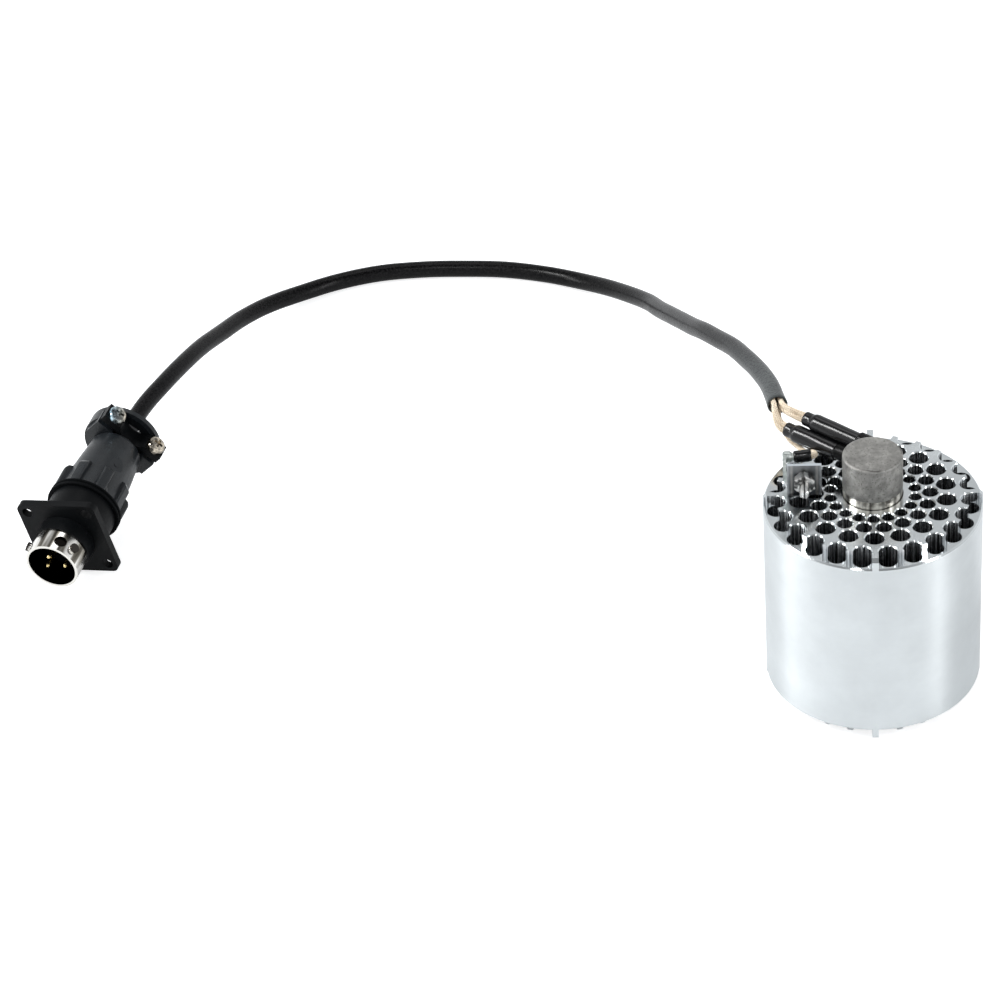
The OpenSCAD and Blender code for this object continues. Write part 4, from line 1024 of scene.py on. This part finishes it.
class BLOCK_OT_strands(bpy.types.Operator):
    """The braided strands from the sleeves and the earth terminal to the hose"""
    bl_idname = "tube_block.strands"
    bl_label = "Braided strands"

    def execute(self, context):
        scene = context.scene
        size = scene.tube_leads
        finish = braid_finish(scene.tube_look)
        # the strands' core is dark brown, so the gaps between the yarns show painted shade
        core = Finish("braid_core_gap_shade", (0.2, 0.12, 0.06), 0.0, 0.8)
        core.bump(core.noise(core.place, 2000), 0.2, 0.0001)
        tree = braid_tree(finish)
        front = [strand_line(FRONT_LEAD, 7.8 * MM, s, -0.98 * MM, 4 * MM, 3.2 * MM, -0.05 * MM, size.strand)
                 for s in (-1, 1)]
        rear = [strand_line(REAR_LEAD, 7.8 * MM, s, 0.98 * MM, 3.6 * MM, 3.4 * MM, -0.2 * MM, size.strand)
                for s in (-1, 1)]
        low = MOUTH - 1.6 * MM * MOUTH_UP
        earth = catmull(EARTH_ROUTE + [low], 0.5 * MM) + into_hose(low)
        yarn = 0.155 * MM
        for name, lines, node in (
            ("strands_front", front, "lead_front"), ("strands_rear", rear, "lead_rear"),
            ("strand_earth", [earth], "lead_earth"),
        ):
            piece = grown(
                name, line_mesh(name + "_line", lines), tree,
                {"Radius": size.strand / 2 - yarn * 1.25, "Yarn radius": yarn, "Lay": size.lay,
                 "Yarns": size.yarns, "Step": 0.16 * MM}, finish)
            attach(piece, "root")
            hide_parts(node)
            for i, line in enumerate(lines):
                verts, faces, uvs = swept_skin(line, lambda run, a: size.strand / 2 - yarn * 1.5, 10)
                wire = mesh_piece(f"{name}_core_{i}", verts, faces, core.mat, uvs)
                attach(wire, "root")
        return {"FINISHED"}


class BLOCK_OT_sleeves(bpy.types.Operator):
    """Shrunk sleeves on the two leads"""
    bl_idname = "tube_block.sleeves"
    bl_label = "Sleeves"

    def execute(self, context):
        finish = sleeve_finish(context.scene.tube_look)
        side = EXIT_DIR.cross(Vector((0, 0, 1))).normalized()
        sides, fall = 40, 0.4 * MM
        for name, node, lead in (
            ("sleeve_front", "lead_sleeve_front", FRONT_LEAD),
            ("sleeve_rear", "lead_sleeve_rear", REAR_LEAD),
        ):
            start, end, off, rise = lead
            length = (end - start) / MM
            origin = start * EXIT_DIR + off * EXIT_SIDE + Vector((0, 0, SHEATH_TOP + rise))
            # radii and distances in millimetres: full over the splice, shrunk on the strands, then the bore
            shape = [(2.1, 0.0), (2.27, 0.14), (2.34, 0.4)]
            shape += [(2.34, 0.6 + i * (length - 4.4) / 14) for i in range(15)]
            shape += [(r, length - back) for r, back in (
                (2.33, 3.5), (2.3, 3.2), (2.22, 2.9), (2.1, 2.65), (1.98, 2.4), (1.9, 2.2), (1.87, 1.8),
                (1.86, 1.2), (1.87, 0.5), (1.83, 0.12), (1.68, 0), (1.45, 0), (1.4, 0.15))]
            shape += [(1.4, length / 2), (1.4, 0.0)]
            rings, uvs = [], []
            for r, x in shape:
                ring = []
                for k in range(sides):
                    a = 2 * math.pi * k / sides
                    rr = r * MM
                    if r > 1.5:
                        v = Vector((math.cos(a) * 1.4, math.sin(a) * 1.4, x / 3.5 + start / MM))
                        rr += 0.055 * MM * noise.noise(v) * min(1, x / 1.5)
                    level = Vector((0, 0, rr * math.sin(a) - fall * (1 - x / length)))
                    ring.append(origin + x * MM * EXIT_DIR + rr * math.cos(a) * side + level)
                    uvs.append((k / sides, x))
                rings.append(ring)
            piece = closed_ring(name, rings, finish, 50, uvs)
            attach(piece, "root")
            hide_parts(node)
        # the short sleeve on the earth barrel sits a little askew
        at = (
            Matrix.Translation(Vector((-19.5, 6, 65)) * MM) @ Matrix.Rotation(math.radians(-7), 4, "Y")
            @ Matrix.Rotation(math.radians(90), 4, "Y") @ Matrix.Scale(MM, 4))
        profile = [
            (1.16, 0), (1.38, 0), (1.5, 0.12), (1.55, 0.6), (1.53, 1.5), (1.58, 2.6), (1.6, 3.6), (1.52, 4.2),
            (1.36, 4.4), (1.16, 4.4)]
        piece = closed_ring("earth_sleeve", turned_rings(profile, at, 36), finish, 50)
        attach(piece, "root")
        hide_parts("terminal_sleeve")
        return {"FINISHED"}


class BLOCK_OT_finishes(bpy.types.Operator):
    """Finishes of the block, heater, bracket and receptacle"""
    bl_idname = "tube_block.finishes"
    bl_label = "Finishes"

    def execute(self, context):
        look = context.scene.tube_look
        moulded = moulded_finish(look)
        shell = moulded_finish(look, "moulded_backshell", 4.2, 0.32, 1500, 0.42)
        dark = moulded_finish(look, "rubber_insert", 1.0, 0.6, 900, 0.05)
        for finish, names in (
            (block_finish(look), ("heating_block",)),
            (sheath_finish(), ("heater_sheath", "sheath_end_disc", "heating_coil", "terminal_pins")),
            (cap_finish(look), ("heater_cap",)),
            (ceramic_finish(), ("ceramic_core", "insulating_fill", "end_seal")),
            (boot_finish(), ("lead_boot",)),
            (plate_finish(), ("earth_bracket",)),
            (bolt_finish(), ("earth_bolt",)),
            (nut_finish(), ("earth_nut", "lock_washer")),
            (tin_finish(), ("ring_terminal", "crimp_splices")),
            (zinc_finish(), ("bracket_screw", "clamp_screws")),
            (moulded, ("receptacle_body", "clamp_saddle")),
            (shell, ("backshell",)),
            (dark, ("contact_insert", "cable_grommet", "collar_ring")),
            (nickel_finish(look), ("metal_shell",)),
            (gold_finish(), ("contact_pins",)),
        ):
            for name in names:
                dress(name, finish)
        return {"FINISHED"}


class BLOCK_OT_clamp_web(bpy.types.Operator):
    """Rubber web inside the hoop of the cable clamp"""
    bl_idname = "tube_block.clamp_web"
    bl_label = "Clamp web"

    def execute(self, context):
        finish = moulded_finish(context.scene.tube_look, "web_rubber", 2.0, 0.5, 1500, 0.1)
        profile = [(6.1, -42.4), (8.9, -42.4), (8.9, -41.3), (6.1, -41.3), (5.8, -41.85)]
        at = PLUG @ Matrix.Scale(MM, 4)
        piece = closed_ring("clamp_web", turned_rings(profile, at, 64), finish, 40)
        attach(piece, "root")
        return {"FINISHED"}


class BLOCK_OT_bolt_thread(bpy.types.Operator):
    """Thread on the standing end of the earth bolt"""
    bl_idname = "tube_block.bolt_thread"
    bl_label = "Bolt thread"

    def execute(self, context):
        finish = bolt_finish()
        base = bpy.data.meshes.new("thread_base")
        start = Vector((BRACKET_X, -4.4 * MM, EARTH_BOLT_Z))
        at = Matrix.Translation(start) @ Matrix.Rotation(math.radians(90), 4, "X")
        piece = grown(
            "bolt_thread", base, thread_tree(finish),
            {"Radius": 1.2 * MM, "Length": 3.4 * MM, "Turns": 7.6, "Depth": 0.06 * MM}, finish, at)
        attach(piece, "root")
        return {"FINISHED"}


class BLOCK_PT_panel(bpy.types.Panel):
    bl_idname = "BLOCK_PT_panel"
    bl_label = "Tube block"
    bl_space_type = "VIEW_3D"
    bl_region_type = "UI"
    bl_category = "Tube block"

    def draw(self, context):
        layout = self.layout
        for group in (context.scene.tube_look, context.scene.tube_leads, context.scene.tube_stage):
            box = layout.box()
            for key in group.__annotations__:
                box.prop(group, key)
        for op in OPERATORS:
            layout.operator(op.bl_idname)


OPERATORS = (
    BLOCK_OT_stage, BLOCK_OT_hose, BLOCK_OT_strands, BLOCK_OT_sleeves, BLOCK_OT_finishes,
    BLOCK_OT_clamp_web, BLOCK_OT_bolt_thread,
)
CLASSES = (BlockLook, LeadSizes, StageLook, *OPERATORS, BLOCK_PT_panel)


def register():
    for cls in CLASSES:
        bpy.utils.register_class(cls)
    bpy.types.Scene.tube_look = bpy.props.PointerProperty(type=BlockLook)
    bpy.types.Scene.tube_leads = bpy.props.PointerProperty(type=LeadSizes)
    bpy.types.Scene.tube_stage = bpy.props.PointerProperty(type=StageLook)


def unregister():
    for name in ("tube_look", "tube_leads", "tube_stage"):
        delattr(bpy.types.Scene, name)
    for cls in reversed(CLASSES):
        bpy.utils.unregister_class(cls)


def main():
    register()
    bpy.ops.tube_block.stage()
    bpy.ops.tube_block.hose()
    bpy.ops.tube_block.strands()
    bpy.ops.tube_block.sleeves()
    bpy.ops.tube_block.finishes()
    bpy.ops.tube_block.clamp_web()
    bpy.ops.tube_block.bolt_thread()


if __name__ == "__main__":
    main()
